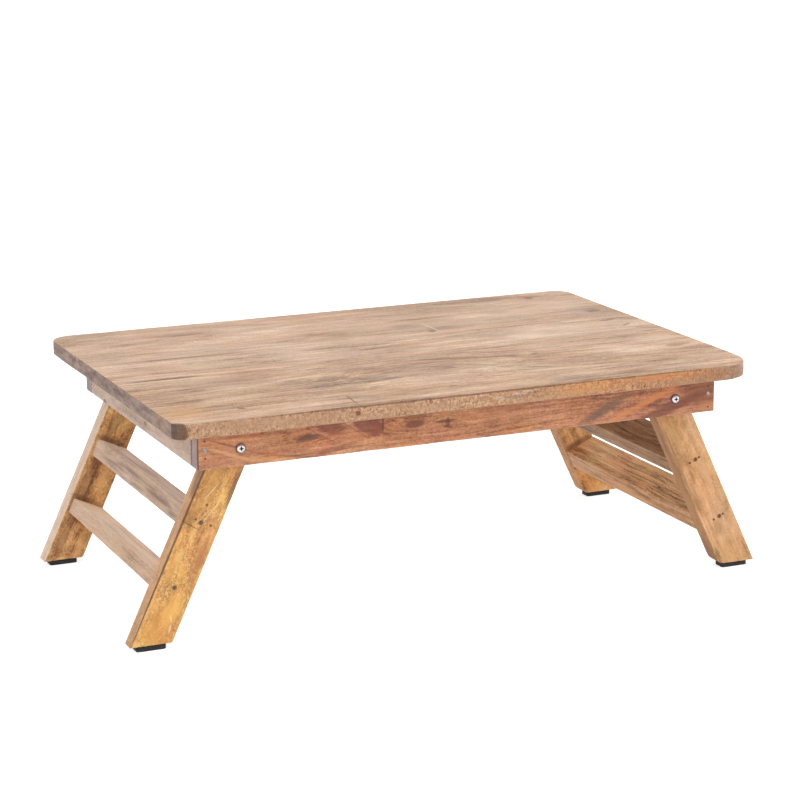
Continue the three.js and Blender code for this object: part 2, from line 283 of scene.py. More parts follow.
def marks_of(table):
    """Marks from lines of place, half sizes, tone and look."""
    return [mark(row[:3], row[3:6], row[6:9], *row[9:]) for row in rows_of(table)]


def spots(face, table):
    """Marks on a flat face at this height, from lines of x, y, half length, half width, tone and look."""
    return [mark((x, y, face), (half_length, half_width, MARK_DEPTH), look[:3], *look[3:])
            for x, y, half_length, half_width, *look in rows_of(table)]


def flow(place, size, lift):
    """A swelling of the grain lines round a place, as beside a knot."""
    return dict(place=place, size=size, lift=lift)


# How far a mark on a flat face reaches into its board
MARK_DEPTH = 30

# Noise in wood: cells per mm along X, Y and Z, seed, detail and roughness. Where only a range of
# it counts, that range follows, and for calm also what the range becomes
LAYERS = {
    "drift": ((0.006, 0.02, 0.02), 0, 2.0, 0.55),
    "ripple": ((0.03, 0.09, 0.09), 1, 2.0, 0.55),
    "wobble": ((0.01, 0.12, 0.12), 2, 2.0, 0.55),
    "fibres": ((0.05, 0.8, 0.8), 5, 4.0, 0.65),
    "end_grain": ((0.1, 0.045, 0.14), 7, 6.0, 0.64),
    "cast": ((0.02, 0.03, 0.03), 21, 2.0, 0.55),
    "varnish_bend": ((0.12, 0.12, 0.12), 16, 3.0, 0.55),
    "tears": ((0.07, 0.4, 0.4), 20, 3.0, 0.65),
    "streaks": ((0.006, 0.17, 0.17), 3, 5.0, 0.62, 0.3, 0.7),
    "bands": ((0.007, 0.022, 0.022), 4, 3.0, 0.6, 0.32, 0.68),
    "patches": ((0.014, 0.075, 0.075), 12, 4.0, 0.62, 0.3, 0.7),
    "mottle": ((0.07, 0.11, 0.11), 13, 5.0, 0.66, 0.34, 0.66),
    "grit": ((0.42, 0.62, 0.62), 14, 2.0, 0.7, 0.3, 0.7),
    "lines": ((0.012, 0.42, 0.42), 19, 3.0, 0.6, 0.34, 0.66),
    "hue": ((0.012, 0.04, 0.04), 6, 3.0, 0.55, 0.35, 0.7),
    "strokes": ((0.017, 0.34, 0.34), 15, 4.0, 0.66, 0.41, 0.34),
    "worn_varnish": ((0.035, 0.06, 0.06), 17, 4.0, 0.6, 0.38, 0.58),
    "varnish_flecks": ((0.28, 0.42, 0.42), 18, 4.0, 0.7, 0.5, 0.62),
    "kerfs": ((0.9, 0.2, 0.3), 8, 3.0, 0.7, 0.38, 0.62),
    "saw_flecks": ((0.5, 0.5, 0.5), 9, 3.0, 0.7, 0.4, 0.6),
    "calm": ((0.02, 0.1, 0.14), 23, 3.0, 0.55, 0.4, 0.6, 0.45, 1.1),
    "scuffs": ((0.12, 0.4, 0.4), 11, 3.0, 0.55, 0.4, 0.62),
    "pores": ((0.06, 0.8, 0.8), 10, 2.0, 0.5, 0.39, 0.31),
}
FOLLOWS_GRAIN = ("wobble", "fibres", "tears", "streaks", "bands", "patches", "lines", "strokes", "pores")
TONE_LAYERS = ("bands", "patches", "mottle", "grit", "lines")

# Wood where a board's look says nothing else: pith, its lean and the rings, shares of the layers
# in the tone, and shares of what lies over it
WOOD = dict(
    pith=(9.0, -60.0), tilt=(0.0, 0.0), ring=4.5, rings=0.16, streaks=0.45, bands=0.3, patches=0.3,
    mottle=0.0, grit=0.25, lines=0.35, fibres=0.18, blotches=0.25, tint=0.12, strokes=0.45,
    varnish=0.0, pores=0.4, saw=0.0, rough=0.62, flows=(), faces=(), marks=(), end_tones=None,
    side=None, worn=None,
)
DRIFT_REACH = 8.0
RIPPLE_HEIGHT = 2.8
RING_WOBBLE = 2.2
VARNISH_BEND = 9.0
VARNISH_CELLS = 0.3
KERF_SHARE = 0.45
WARM_TINT = linear((255, 228, 196))
STROKE_TINT = linear((172, 146, 134))
VARNISH_FLECK = linear((252, 214, 146))
VARNISH_CRACK = linear((138, 92, 52))
DARK_CUT_TINT = linear((178, 142, 114))
LIGHT_CUT = linear((255, 222, 182))
PORE = linear((70, 44, 30))
PORE_FILL = 0.6
MARK_THROUGH = 0.22
END_GRAIN_SHADE = 0.72
RUBBED_SHARE = 0.45
GRAIN_DEPTH = 0.16
WOOD_SHEEN = 0.3


class Wood(Paint):
    """Reclaimed wood: growth rings about a leaning pith, streaks, fibres, pores and marks.

    along is the way that the grain runs in the table's frame. look changes values of WOOD."""

    def __init__(self, name, seed, tones, along, **look):
        super().__init__(bpy.data.materials.new(name))
        self.seed, self.tones, self.look = seed, tones, WOOD | look
        self.place = self.node("Attribute", output="Vector", attribute_name="grain")
        self.normal = self.node("TexCoord", output="Normal")
        self.grain = self.bent_grain()
        self.fibre = self.layer("fibres")
        self.streak = self.layer("streaks")

        colour = self.aged(self.ramp(self.tone(), tones))
        if self.look["varnish"]:
            colour = self.varnished(colour)
        colour = self.end_grain(self.other_faces(colour), along)
        height = self.times(self.fibre, 0.6)
        if self.look["side"]:
            colour, height = self.sawn(colour, height)
        colour = self.marked(self.rubbed(colour))
        pore = self.layer("pores")
        share = self.times(pore, self.look["pores"])
        colour = self.mix(share, colour, self.mix(PORE_FILL, colour, PORE))
        height = self.math("SUBTRACT", height, self.times(pore, 0.5))

        rough = self.look["rough"]
        gloss = self.scale(self.streak, 0.0, 1.0, rough - 0.07, rough + 0.06)
        self.surface(Base_Color=colour, Roughness=gloss, Normal=self.bump(height, GRAIN_DEPTH),
                     Specular_IOR_Level=WOOD_SHEEN)

    def layer(self, name, place=None, step=0, output=0):
        """One layer of LAYERS, along the grain if it is one that follows it."""
        stretch, seed, detail, roughness, *span = LAYERS[name]
        place = place or (self.grain if name in FOLLOWS_GRAIN else self.place)
        made = self.noise(place, stretch, self.seed + seed + step, detail, roughness, output)
        return self.span(made, *span) if span else made

    def facing(self, way, both=False):
        """1 on the faces that look this way, or either way, and 0 on the others."""
        share = self.vector("DOT_PRODUCT", self.normal, way, output="Value")
        return self.span(self.math("ABSOLUTE", share) if both else share, 0.5, 0.8)

    def bent_grain(self):
        """Place on the board, moved as the grain wanders across it and swells round knots."""
        sway = self.line(self.layer("drift"), 2 * DRIFT_REACH, -DRIFT_REACH)
        sway = self.line(self.layer("ripple"), RIPPLE_HEIGHT, sway)
        for swell in self.look["flows"]:
            far = self.far_from(swell)
            fall = self.math("EXPONENT", self.times(far, far, -1.0))
            sway = self.line(fall, swell["lift"], sway)
        return self.vector("ADD", self.place, self.node("CombineXYZ", {"Y": sway, "Z": sway}))

    def far_from(self, spot):
        """Distance from the middle of a mark or flow, which is 1 at its rim."""
        inputs = {"Vector": self.place, "Location": spot["place"], "Scale": spot["size"],
                  "Rotation": (0, 0, math.radians(spot.get("turn", 0.0)))}
        return self.length(self.node("Mapping", inputs, vector_type="TEXTURE"))

    def late_wood(self):
        """Dark outer part of each growth ring, by distance from the pith, which leans."""
        (pith_y, pith_z), (tilt_y, tilt_z) = self.look["pith"], self.look["tilt"]
        across = self.vector("MULTIPLY", self.grain, (0.0, 1.0, 1.0))
        run = self.axis(self.grain, 0)
        offset = self.node("CombineXYZ", {"Y": self.line(run, -tilt_y, -pith_y),
                                          "Z": self.line(run, -tilt_z, -pith_z)})
        from_pith = self.length(self.vector("ADD", across, offset))
        count = self.math("DIVIDE", from_pith, self.look["ring"])
        wobble = self.times(self.layer("wobble"), RING_WOBBLE)
        phase = self.math("FRACT", self.math("ADD", count, wobble))
        return self.times(self.math("POWER", phase, 3.0), self.span(phase, 1.0, 0.93))

    def tone(self):
        """Tone of the wood, from dark at 0 to light at 1, summed from its layers."""
        layers = [(self.look["streaks"], self.streak)]
        layers += [(self.look[name], self.layer(name)) for name in TONE_LAYERS if self.look[name]]
        layers += [(2 * self.look["fibres"], self.fibre),
                   (-self.look["rings"], self.math("ADD", self.late_wood(), 0.25))]
        tone = 0.5 - sum(share for share, _ in layers) / 2
        for share, layer in layers:
            tone = self.line(layer, share, tone)
        return tone

    def aged(self, colour):
        """Slow change of hue, as old wood takes up stains and light, and dark strokes."""
        blotch = self.times(self.layer("hue"), self.look["blotches"])
        colour = self.mix(blotch, colour, self.tinted(colour, WARM_TINT))
        tint = self.look["tint"]
        cast = self.vector("MULTIPLY_ADD", self.layer("cast", output=1), (2 * tint,) * 3, (1 - tint,) * 3)
        colour = self.tinted(colour, cast)
        stroke = self.times(self.layer("strokes"), self.look["strokes"])
        return self.mix(stroke, colour, self.tinted(colour, STROKE_TINT))

    def varnished(self, colour):
        """Old varnish: golden flecks where it stayed, brown lines where it broke up."""
        bend = self.layer("varnish_bend", output=1)
        bent = self.vector("MULTIPLY_ADD", bend, (VARNISH_BEND,) * 3, self.place)
        cell = self.node("TexVoronoi", {"Vector": bent, "Scale": VARNISH_CELLS}, "Distance",
                         feature="DISTANCE_TO_EDGE")
        worn_in = self.layer("worn_varnish")
        crack = self.times(self.span(cell, 0.09, 0.02), worn_in)
        fleck = self.times(self.layer("varnish_flecks", bent), worn_in)
        colour = self.mix(self.times(fleck, self.look["varnish"]), colour, VARNISH_FLECK)
        return self.mix(self.times(crack, self.look["varnish"]), colour, VARNISH_CRACK)

    def other_faces(self, colour):
        """Faces of another tone. Each has its way, its tone and how plain it is. On the left rungs' upper
        faces the tone is painted light, and on the upper right rung it is painted shade.
        """
        middle = linear(self.tones[len(self.tones) // 2][1])[:3]
        for way, tone, plain in self.look["faces"]:
            ratio = [one / other for one, other in zip(linear(tone), middle)] + [1.0]
            face = self.mix(plain, self.tinted(colour, ratio), linear(tone))
            colour = self.mix(self.facing(way), colour, face)
        return colour

    def end_grain(self, colour, along):
        """End grain, on both ends of the board."""
        end_tones = self.look["end_tones"] or shaded(self.tones, END_GRAIN_SHADE)
        end_colour = self.ramp(self.layer("end_grain"), end_tones)
        return self.mix(self.facing(along, both=True), colour, end_colour)

    def sawn(self, colour, height):
        """One side as the saw left it: kerfs and flecks, over tones that change end to end."""
        side = self.look["side"]
        at_side, kerf = self.facing(side["facing"]), self.layer("kerfs")
        half = TOP_HALF[0]
        base = self.ramp(self.scale(self.axis(self.place, 0), -half, half, 0.0, 1.0), side["tones"])
        pattern = self.line(kerf, KERF_SHARE, self.times(self.layer("saw_flecks"), 1 - KERF_SHARE))
        pattern = self.line(self.math("SUBTRACT", pattern, 0.5), self.layer("calm"), 0.5)
        cut = self.mix(pattern, self.tinted(base, DARK_CUT_TINT), self.mix(0.36, base, LIGHT_CUT))
        colour = self.mix(at_side, colour, self.mix(0.1, cut, colour))
        return colour, self.math("ADD", height, self.times(kerf, at_side, self.look["saw"]))

    def rubbed(self, colour):
        """Edges that hands have rubbed."""
        edge = self.node("Attribute", output="Fac", attribute_name="edge")
        share = self.times(edge, self.layer("scuffs"), RUBBED_SHARE)
        return self.mix(share, colour, linear(self.look["worn"] or self.tones[-1][1]))

    def marked(self, colour):
        """Stains, knots, cracks, patches, painted shadows and painted light, each with its own ragged rim."""
        for number, spot in enumerate(self.look["marks"]):
            far, ragged = self.far_from(spot), spot["ragged"]
            if ragged:
                tear = self.layer("tears", step=number)
                far = self.math("ADD", far, self.line(tear, ragged * 2, -ragged))
            share = self.times(self.span(far, 1.0, 1.0 - spot["soft"]), spot["share"])
            colour = self.mix(share, colour, self.mix(MARK_THROUGH, linear(spot["tone"]), colour))
        return colour


def metal(name, tone, rough, scratch, seed, recess=0.0):
    """Plated or bare steel with fine scratches and dull spots, and painted shade, dark and not metallic, in a
    recess of this radius.
    """
    paint = new_paint(name)
    place = paint.object_place()
    dull = paint.span(paint.noise(place, (0.9, 0.9, 0.9), seed, 4.0), 0.35, 0.7)
    fine = paint.noise(place, (6.0, 1.5, 6.0), seed + 1, 3.0, 0.6)
    colour = paint.mix(paint.times(dull, scratch), linear(tone), linear(scaled(tone, 0.62)))
    steel = 1.0
    if recess:
        # Painted shade: the deep part of the recess is painted near black and not metallic
        deep = paint.span(paint.axis(place, 2), -0.2, -0.45)
        from_middle = paint.length(paint.vector("MULTIPLY", place, (1.0, 1.0, 0.0)))
        grime_and_shade = paint.times(deep, paint.span(from_middle, recess, recess * 0.9))
        colour = paint.mix(grime_and_shade, colour, linear((24, 26, 28)))
        steel = paint.math("SUBTRACT", 1.0, grime_and_shade)
    gloss = paint.scale(dull, 0.0, 1.0, rough, rough + 0.2)
    relief = paint.bump(fine, 0.04, 0.5)
    return paint.surface(Base_Color=colour, Metallic=steel, Roughness=gloss, Normal=relief)


def rubber(name):
    """Moulded black rubber with a fine pebble and floor dust."""
    paint = new_paint(name)
    place = paint.object_place()
    pebble = paint.noise(place, (2.2, 2.2, 2.2), 3.0, 3.0, 0.6)
    dust = paint.span(paint.noise(place, (0.25, 0.25, 0.5), 5.0, 4.0), 0.45, 0.75)
    colour = paint.mix(paint.times(dust, 0.5), linear((32, 31, 32)), linear((78, 74, 70)))
    gloss = paint.scale(pebble, 0.3, 0.7, 0.6, 0.85)
    return paint.surface(Base_Color=colour, Roughness=gloss, Normal=paint.bump(pebble, 0.12),
                         Specular_IOR_Level=0.4)


def nylon(name):
    """Blue-grey insert ring of a lock nut."""
    paint = new_paint(name)
    grime_and_shade = paint.span(paint.noise(paint.object_place(), (0.8, 0.8, 0.8), 9.0), 0.4, 0.7)
    colour = paint.mix(grime_and_shade, linear((196, 200, 206)), linear((150, 150, 148)))
    return paint.surface(Base_Color=colour, Roughness=0.5)


# Shapes


def piece(name, mesh, place, body, slot, replaced=(), materials=()):
    """Sets a mesh in place as a piece of the table."""
    made = bpy.data.objects.new(name, mesh)
    bpy.context.scene.collection.objects.link(made)
    made.matrix_world = place
    for material in materials:
        mesh.materials.append(material)
    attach(made, body)
    if replaced:
        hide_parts(*replaced)
    return made


def axes(origin, x_axis, y_axis):
    """Matrix of a frame with these X and Y directions, its origin given in mm."""
    x_axis, y_axis = Vector(x_axis).normalized(), Vector(y_axis).normalized()
    turned_to = Matrix((x_axis, y_axis, x_axis.cross(y_axis))).transposed().to_4x4()
    return Matrix.Translation(Vector(origin) * MM) @ turned_to


def near_edge(arris, corner_radii):
    """Depths in from an edge at which its rounding and the corners' curves need lines."""
    near = {arris * share for share in (0.0, 0.42, 0.73, 1.0)}
    for corner in corner_radii:
        near |= {corner * (1 - math.cos(math.radians(angle))) for angle in range(10, 91, 8)}
    near = sorted(near)
    return [value for value, before in zip(near, [-1.0] + near) if value - before > SAME_PLACE]


def steps(low, high, pitch, arris, low_corners=(), high_corners=()):
    """Places from low to high at about the pitch, closer in the rounded edges."""
    length = high - low
    first, last = near_edge(arris, low_corners), near_edge(arris, high_corners)
    inner = length - first[-1] - last[-1]
    count = max(2, round(inner / pitch))
    middle = [first[-1] + inner * i / count for i in range(1, count)]
    return low + np.array(first + middle + [length - value for value in reversed(last)])


def shell(counts):
    """Places and four-sided faces of the skin of a block cut counts times each way."""
    grid = np.indices(counts)
    last = [count - 1 for count in counts]
    skin = np.zeros(counts, bool)
    for axis in range(3):
        skin |= (grid[axis] == 0) | (grid[axis] == last[axis])
    index = np.full(counts, -1)
    index[skin] = np.arange(skin.sum())
    faces = []
    for axis in range(3):
        for at_end in (False, True):
            side = np.take(index, last[axis] if at_end else 0, axis)
            quads = np.stack((side[:-1, :-1], side[1:, :-1], side[1:, 1:], side[:-1, 1:]), -1)
            faces.append(quads.reshape(-1, 4)[:, ::1 if at_end == (axis != 1) else -1])
    return np.argwhere(skin), np.concatenate(faces)


def inward(points, outline):
    """Distance of flat points from a closed outline, and the way to it from the nearest place."""
    spans = np.roll(outline, -1, 0) - outline
    squares = (spans ** 2).sum(1)
    far = np.full(len(points), 1e9)
    way = np.zeros((len(points), 2))
    centre = outline.mean(0)
    for start, run, square in zip(outline, spans, squares):
        if square < 1e-12:
            continue
        share = np.clip(((points - start) @ run) / square, 0, 1)
        gap = points - (start + share[:, None] * run)
        distance = np.hypot(gap[:, 0], gap[:, 1])
        normal = np.array((-run[1], run[0])) / math.sqrt(square)
        if normal @ (centre - start) < 0:
            normal = -normal
        closer = distance < far - 1e-9
        far[closer] = distance[closer]
        way[closer] = np.where(distance[closer, None] > 1e-6,
                               gap[closer] / np.maximum(distance[closer, None], 1e-9), normal)
    return far, way


def board_outline(ends, ys, shares):
    """Closed outline of a board: its low end, high edge, high end and low edge."""

    def edge(row, part):
        low, high = ends[row]
        return np.stack((low + part * (high - low), np.full(len(part), ys[row])), 1)

    low_end, high_end = np.stack((ends[:, 0], ys), 1), np.stack((ends[::-1, 1], ys[::-1]), 1)
    return np.concatenate((low_end, edge(-1, shares[1:]), high_end[1:], edge(0, 1 - shares[1:-1])))


def wear_depths(points, closeness, wear, wave):
    """Depth of wear at each point: faces that aren't quite flat, dents and rubbed edges."""
    depths = np.zeros(len(points))
    for i, (x, y, z) in enumerate(points):
        depths[i] = (noise.noise((x * 0.012, y * 0.03, z * 0.03)) * 0.5 + 0.5) * wave
        if closeness[i] > 0.2:
            dent = noise.noise((x * 0.05, y * 0.05, z * 0.2))
            dent += 0.5 * noise.noise((x * 0.21, y * 0.21, z * 0.3))
            depths[i] += max(0.0, dent) ** 1.5 * wear * closeness[i] ** 2 + 0.1 * wear * closeness[i]
    return depths


def board_mesh(name, across, extent, thickness, corner_radii=SQUARE_CORNERS, arris=BOARD_ARRIS,
               pitch=STEP, seams=(), wear=WEAR_DEPTH, wave=WAVE_DEPTH):
    """Mesh of a board whose ends follow extent(y), with rounded, worn edges.

    corner_radii are those at the low and the high edge. seams are the Y of edges that meet
    another board and stay crisp. Each point keeps its place along the grain as an attribute."""
    seed = LOOKS[name]["seed"] if name in LOOKS else PAD_SEED + len(name)
    ys = steps(*across, min(pitch * 2, 4.0), arris, *corner_radii)
    ends = np.array([extent(y) for y in ys])
    length = ends[:, 1].max() - ends[:, 0].min()
    shares = steps(0, length, pitch, arris) / length
    zs = steps(-thickness / 2, thickness / 2, pitch, arris)
    cells, faces = shell((len(shares), len(ys), len(zs)))
    low, high = ends[cells[:, 1]].T
    x, y, z = low + shares[cells[:, 0]] * (high - low), ys[cells[:, 1]], zs[cells[:, 2]]
    flat = np.stack((x, y), 1)

    near = np.minimum.reduce((y - ys[0], ys[-1] - y, x - low, high - x)) < 4 * arris
    side, way = np.full(len(x), 99.0), np.zeros((len(x), 2))
    side[near], way[near] = inward(flat[near], board_outline(ends, ys, shares))
    cap = thickness / 2 - np.abs(z)
    radius = np.full(len(x), arris)
    for seam in seams:
        radius[np.abs(y - seam) < 2 * arris] = SEAM_ARRIS

    # A place within reach of both a side and a face moves onto the arc of the rounded edge
    on_arc = (side < radius) & (cap < radius)
    out, up = (radius - side)[on_arc], (radius - cap)[on_arc]
    scale = radius[on_arc] / np.hypot(out, up)
    flat[on_arc] += way[on_arc] * ((1 - scale) * out)[:, None]
    z[on_arc] -= np.sign(z[on_arc]) * (1 - scale) * up
    points = np.column_stack((flat, z))

    mesh = bpy.data.meshes.new(name)
    mesh.from_pydata(points * MM, [], faces.tolist())
    mesh.update()
    normals = np.zeros(len(x) * 3, np.float32)
    mesh.vertices.foreach_get("normal", normals)
    closeness = np.exp(-np.maximum(side + cap - 0.3 * radius, 0) / 2.2)
    depths = wear_depths(points + seed * 13.7, closeness, wear, wave)
    for seam in seams:
        depths[np.abs(y - seam) < 0.01] *= 0.35
    moved = points - normals.reshape(-1, 3) * depths[:, None]
    mesh.vertices.foreach_set("co", (moved * MM).astype(np.float32).ravel())
    edge = mesh.attributes.new("edge", "FLOAT", "POINT")
    edge.data.foreach_set("value", closeness.astype(np.float32))
    grain = mesh.attributes.new("grain", "FLOAT_VECTOR", "POINT")
    grain.data.foreach_set("vector", points.astype(np.float32).ravel())
    mesh.shade_smooth()
    mesh.update()
    return mesh


def board(name, mesh, place, body, slot, material):
    """A board that stands for the CAD node of its name. Its mesh is turned into place."""
    mesh.transform(place)
    made = piece(name + "_board", mesh, Matrix(), body, slot, [name], [material])
    made.modifiers.new("even_faces", "WEIGHTED_NORMAL").keep_sharp = False


def wooden(name, mesh, place, body, slot, more_marks=()):
    """A board of wood, whose grain runs along the X axis of its frame."""
    marks = MARKS.get(name, []) + list(more_marks)
    wood = Wood(name + "_wood", tones=TONES[name], along=tuple(place.col[0][:3]), marks=marks, **LOOKS[name])
    board(name, mesh, place, body, slot, wood.owner)


def corner_cut(near, radius):
    """How far a rounded corner cuts into the length at a distance from its edge."""
    if near >= radius:
        return 0.0
    return radius - math.sqrt(max(radius ** 2 - (radius - near) ** 2, 0.0))


def straight(half, width, corner=BOARD_ARRIS):
    """Extent of a square-ended board with small rounded corners."""

    def extent(y):
        cut = corner_cut(min(y - width[0], width[1] - y), corner)
        return -half + cut, half - cut

    return extent


def bridge(made, one, other):
    """Faces between two rings of points, of which one may be a single point."""
    count = max(len(one), len(other))
    for i in range(count):
        j = (i + 1) % count
        face = [one[i % len(one)], one[j % len(one)], other[j % len(other)], other[i % len(other)]]
        made.faces.new(list(dict.fromkeys(face)))


def turned(profile, count=32, shape=None):
    """Mesh of a turned piece from (radius, height) pairs in mm. shape gives a radius limit."""
    made = bmesh.new()
    rings = []
    for radius, height in profile:
        ring = []
        for i in range(count if radius else 1):
            angle = 2 * math.pi * i / count
            reach = (min(radius, shape(angle)) if shape else radius) * MM
            ring.append(made.verts.new((reach * math.cos(angle), reach * math.sin(angle), height * MM)))
        rings.append(ring)
    for one, other in zip(rings, rings[1:]):
        bridge(made, one, other)
    bmesh.ops.recalc_face_normals(made, faces=made.faces)
    return finished(made, "turned")


def finished(made, name):
    """Mesh from a bmesh, which is freed."""
    mesh = bpy.data.meshes.new(name)
    made.to_mesh(mesh)
    made.free()
    return mesh


def smooth(mesh, angle=35):
    mesh.shade_smooth()
    mesh.set_sharp_from_angle(angle=math.radians(angle))
    return mesh


def closed(profile):
    """Profile with its first pair repeated, for a ring with a bore."""
    return profile + [profile[0]]


def cut_cross(mesh, span, width, depth):
    """Cuts a tapering cross recess into a head whose face is at height 0."""
    made = bmesh.new()
    for turn in (0, math.pi / 2):
        levels = []
        for reach, half, height in ((span * 0.22, width * 0.28, -depth), (span / 2, width / 2, 0.6)):
            square = [(-reach, -half), (reach, -half), (reach, half), (-reach, half)]
            levels.append([made.verts.new(Matrix.Rotation(turn, 3, "Z") @ Vector((x, y, height)) * MM)
                           for x, y in square])
        low, high = levels
        made.faces.new(low[::-1])
        made.faces.new(high)
        bridge(made, low, high)
    body = bpy.data.objects.new("head", mesh)
    cutter = bpy.data.objects.new("cross", finished(made, "cross"))
    for temporary in (body, cutter):
        bpy.context.scene.collection.objects.link(temporary)
    cut = body.modifiers.new("cut", "BOOLEAN")
    cut.operation, cut.object, cut.solver = "DIFFERENCE", cutter, "EXACT"
    cut.use_self = True
    bpy.context.view_layer.update()
    evaluated = body.evaluated_get(bpy.context.evaluated_depsgraph_get())
    result = bpy.data.meshes.new_from_object(evaluated)
    for temporary in (body, cutter):
        bpy.data.objects.remove(temporary)
    return result


# Looks of the boards, by their names. Their faces look along ways of the table's frame, where
# 0.906 and 0.423 are the cosine and the sine of the legs' lean

TONE_PLACES = (0.0, 0.22, 0.5, 0.78, 1.0)


def tones_of(table):
    """Tones of wood from dark to light, from lines of a board's name and five tones."""
    found = {}
    for name, *words in [line.split() for line in table.strip().split("\n")]:
        numbers = [float(word) for word in words]
        found[name] = [(place, numbers[3 * i:3 * i + 3]) for i, place in enumerate(TONE_PLACES)]
    return found


# rung_upper_right holds the right rungs' tones darkened: painted shade from the table above that rung
TONES = tones_of("""
top_plank_front  128 96 74  170 137 112  197 162 133  215 182 155  236 206 180
top_plank_middle  140 110 88  180 149 124  204 171 145  221 190 166  240 212 188
top_plank_back  136 106 84  176 145 121  201 168 142  217 185 161  238 209 186
apron_front  112 68 52  150 98 76  184 126 94  206 148 114  228 174 138
apron_left  142 120 106  174 150 136  192 168 152  208 186 170  222 202 188
leg_front_left  158 108 62  186 134 80  216 161 97  243 188 114  253 212 144
leg_back_left  104 69 42  152 106 67  207 154 100  234 183 122  250 210 150
leg_front_right  138 96 58  182 136 93  212 163 119  230 182 138  242 200 158
leg_back_right  124 78 40  178 124 76  220 164 112  240 188 134  250 208 158
rung_upper_left  122 98 82  164 138 120  190 162 142  206 177 156  224 196 174
rung_lower_left  140 112 92  176 145 121  198 165 139  210 178 150  224 194 166
rung_upper_right  84 54 34  134 98 68  170 131 98  186 148 115  206 172 140
rung_lower_right  104 68 40  174 128 86  222 173 124  240 193 144  252 215 168
""")
TONES["apron_back"] = TONES["apron_front"]
TONES["apron_right"] = shaded(TONES["top_plank_front"], 0.92)
TOP_END_TONES = [(0.3, (80, 60, 52)), (0.44, (114, 91, 81)), (0.55, (140, 116, 105)),
                 (0.72, (172, 149, 137))]
FRONT_EDGE = {
    "facing": (0, -1, 0),
    "tones": [(0.03, (190, 144, 108)), (0.25, (198, 153, 118)), (0.45, (206, 162, 128)),
              (0.58, (200, 148, 104)), (0.75, (198, 132, 78)), (0.87, (186, 126, 82)),
              (0.97, (146, 106, 82))],
}
BACK_EDGE = {
    "facing": (0, 1, 0),
    "tones": [(0.0, (172, 132, 100)), (0.4, (194, 154, 118)), (0.7, (184, 142, 104)), (1.0, (176, 134, 100))],
}
APRON_END_TONES = [(0.3, (104, 90, 90)), (0.5, (142, 126, 126)), (0.7, (168, 152, 150))]
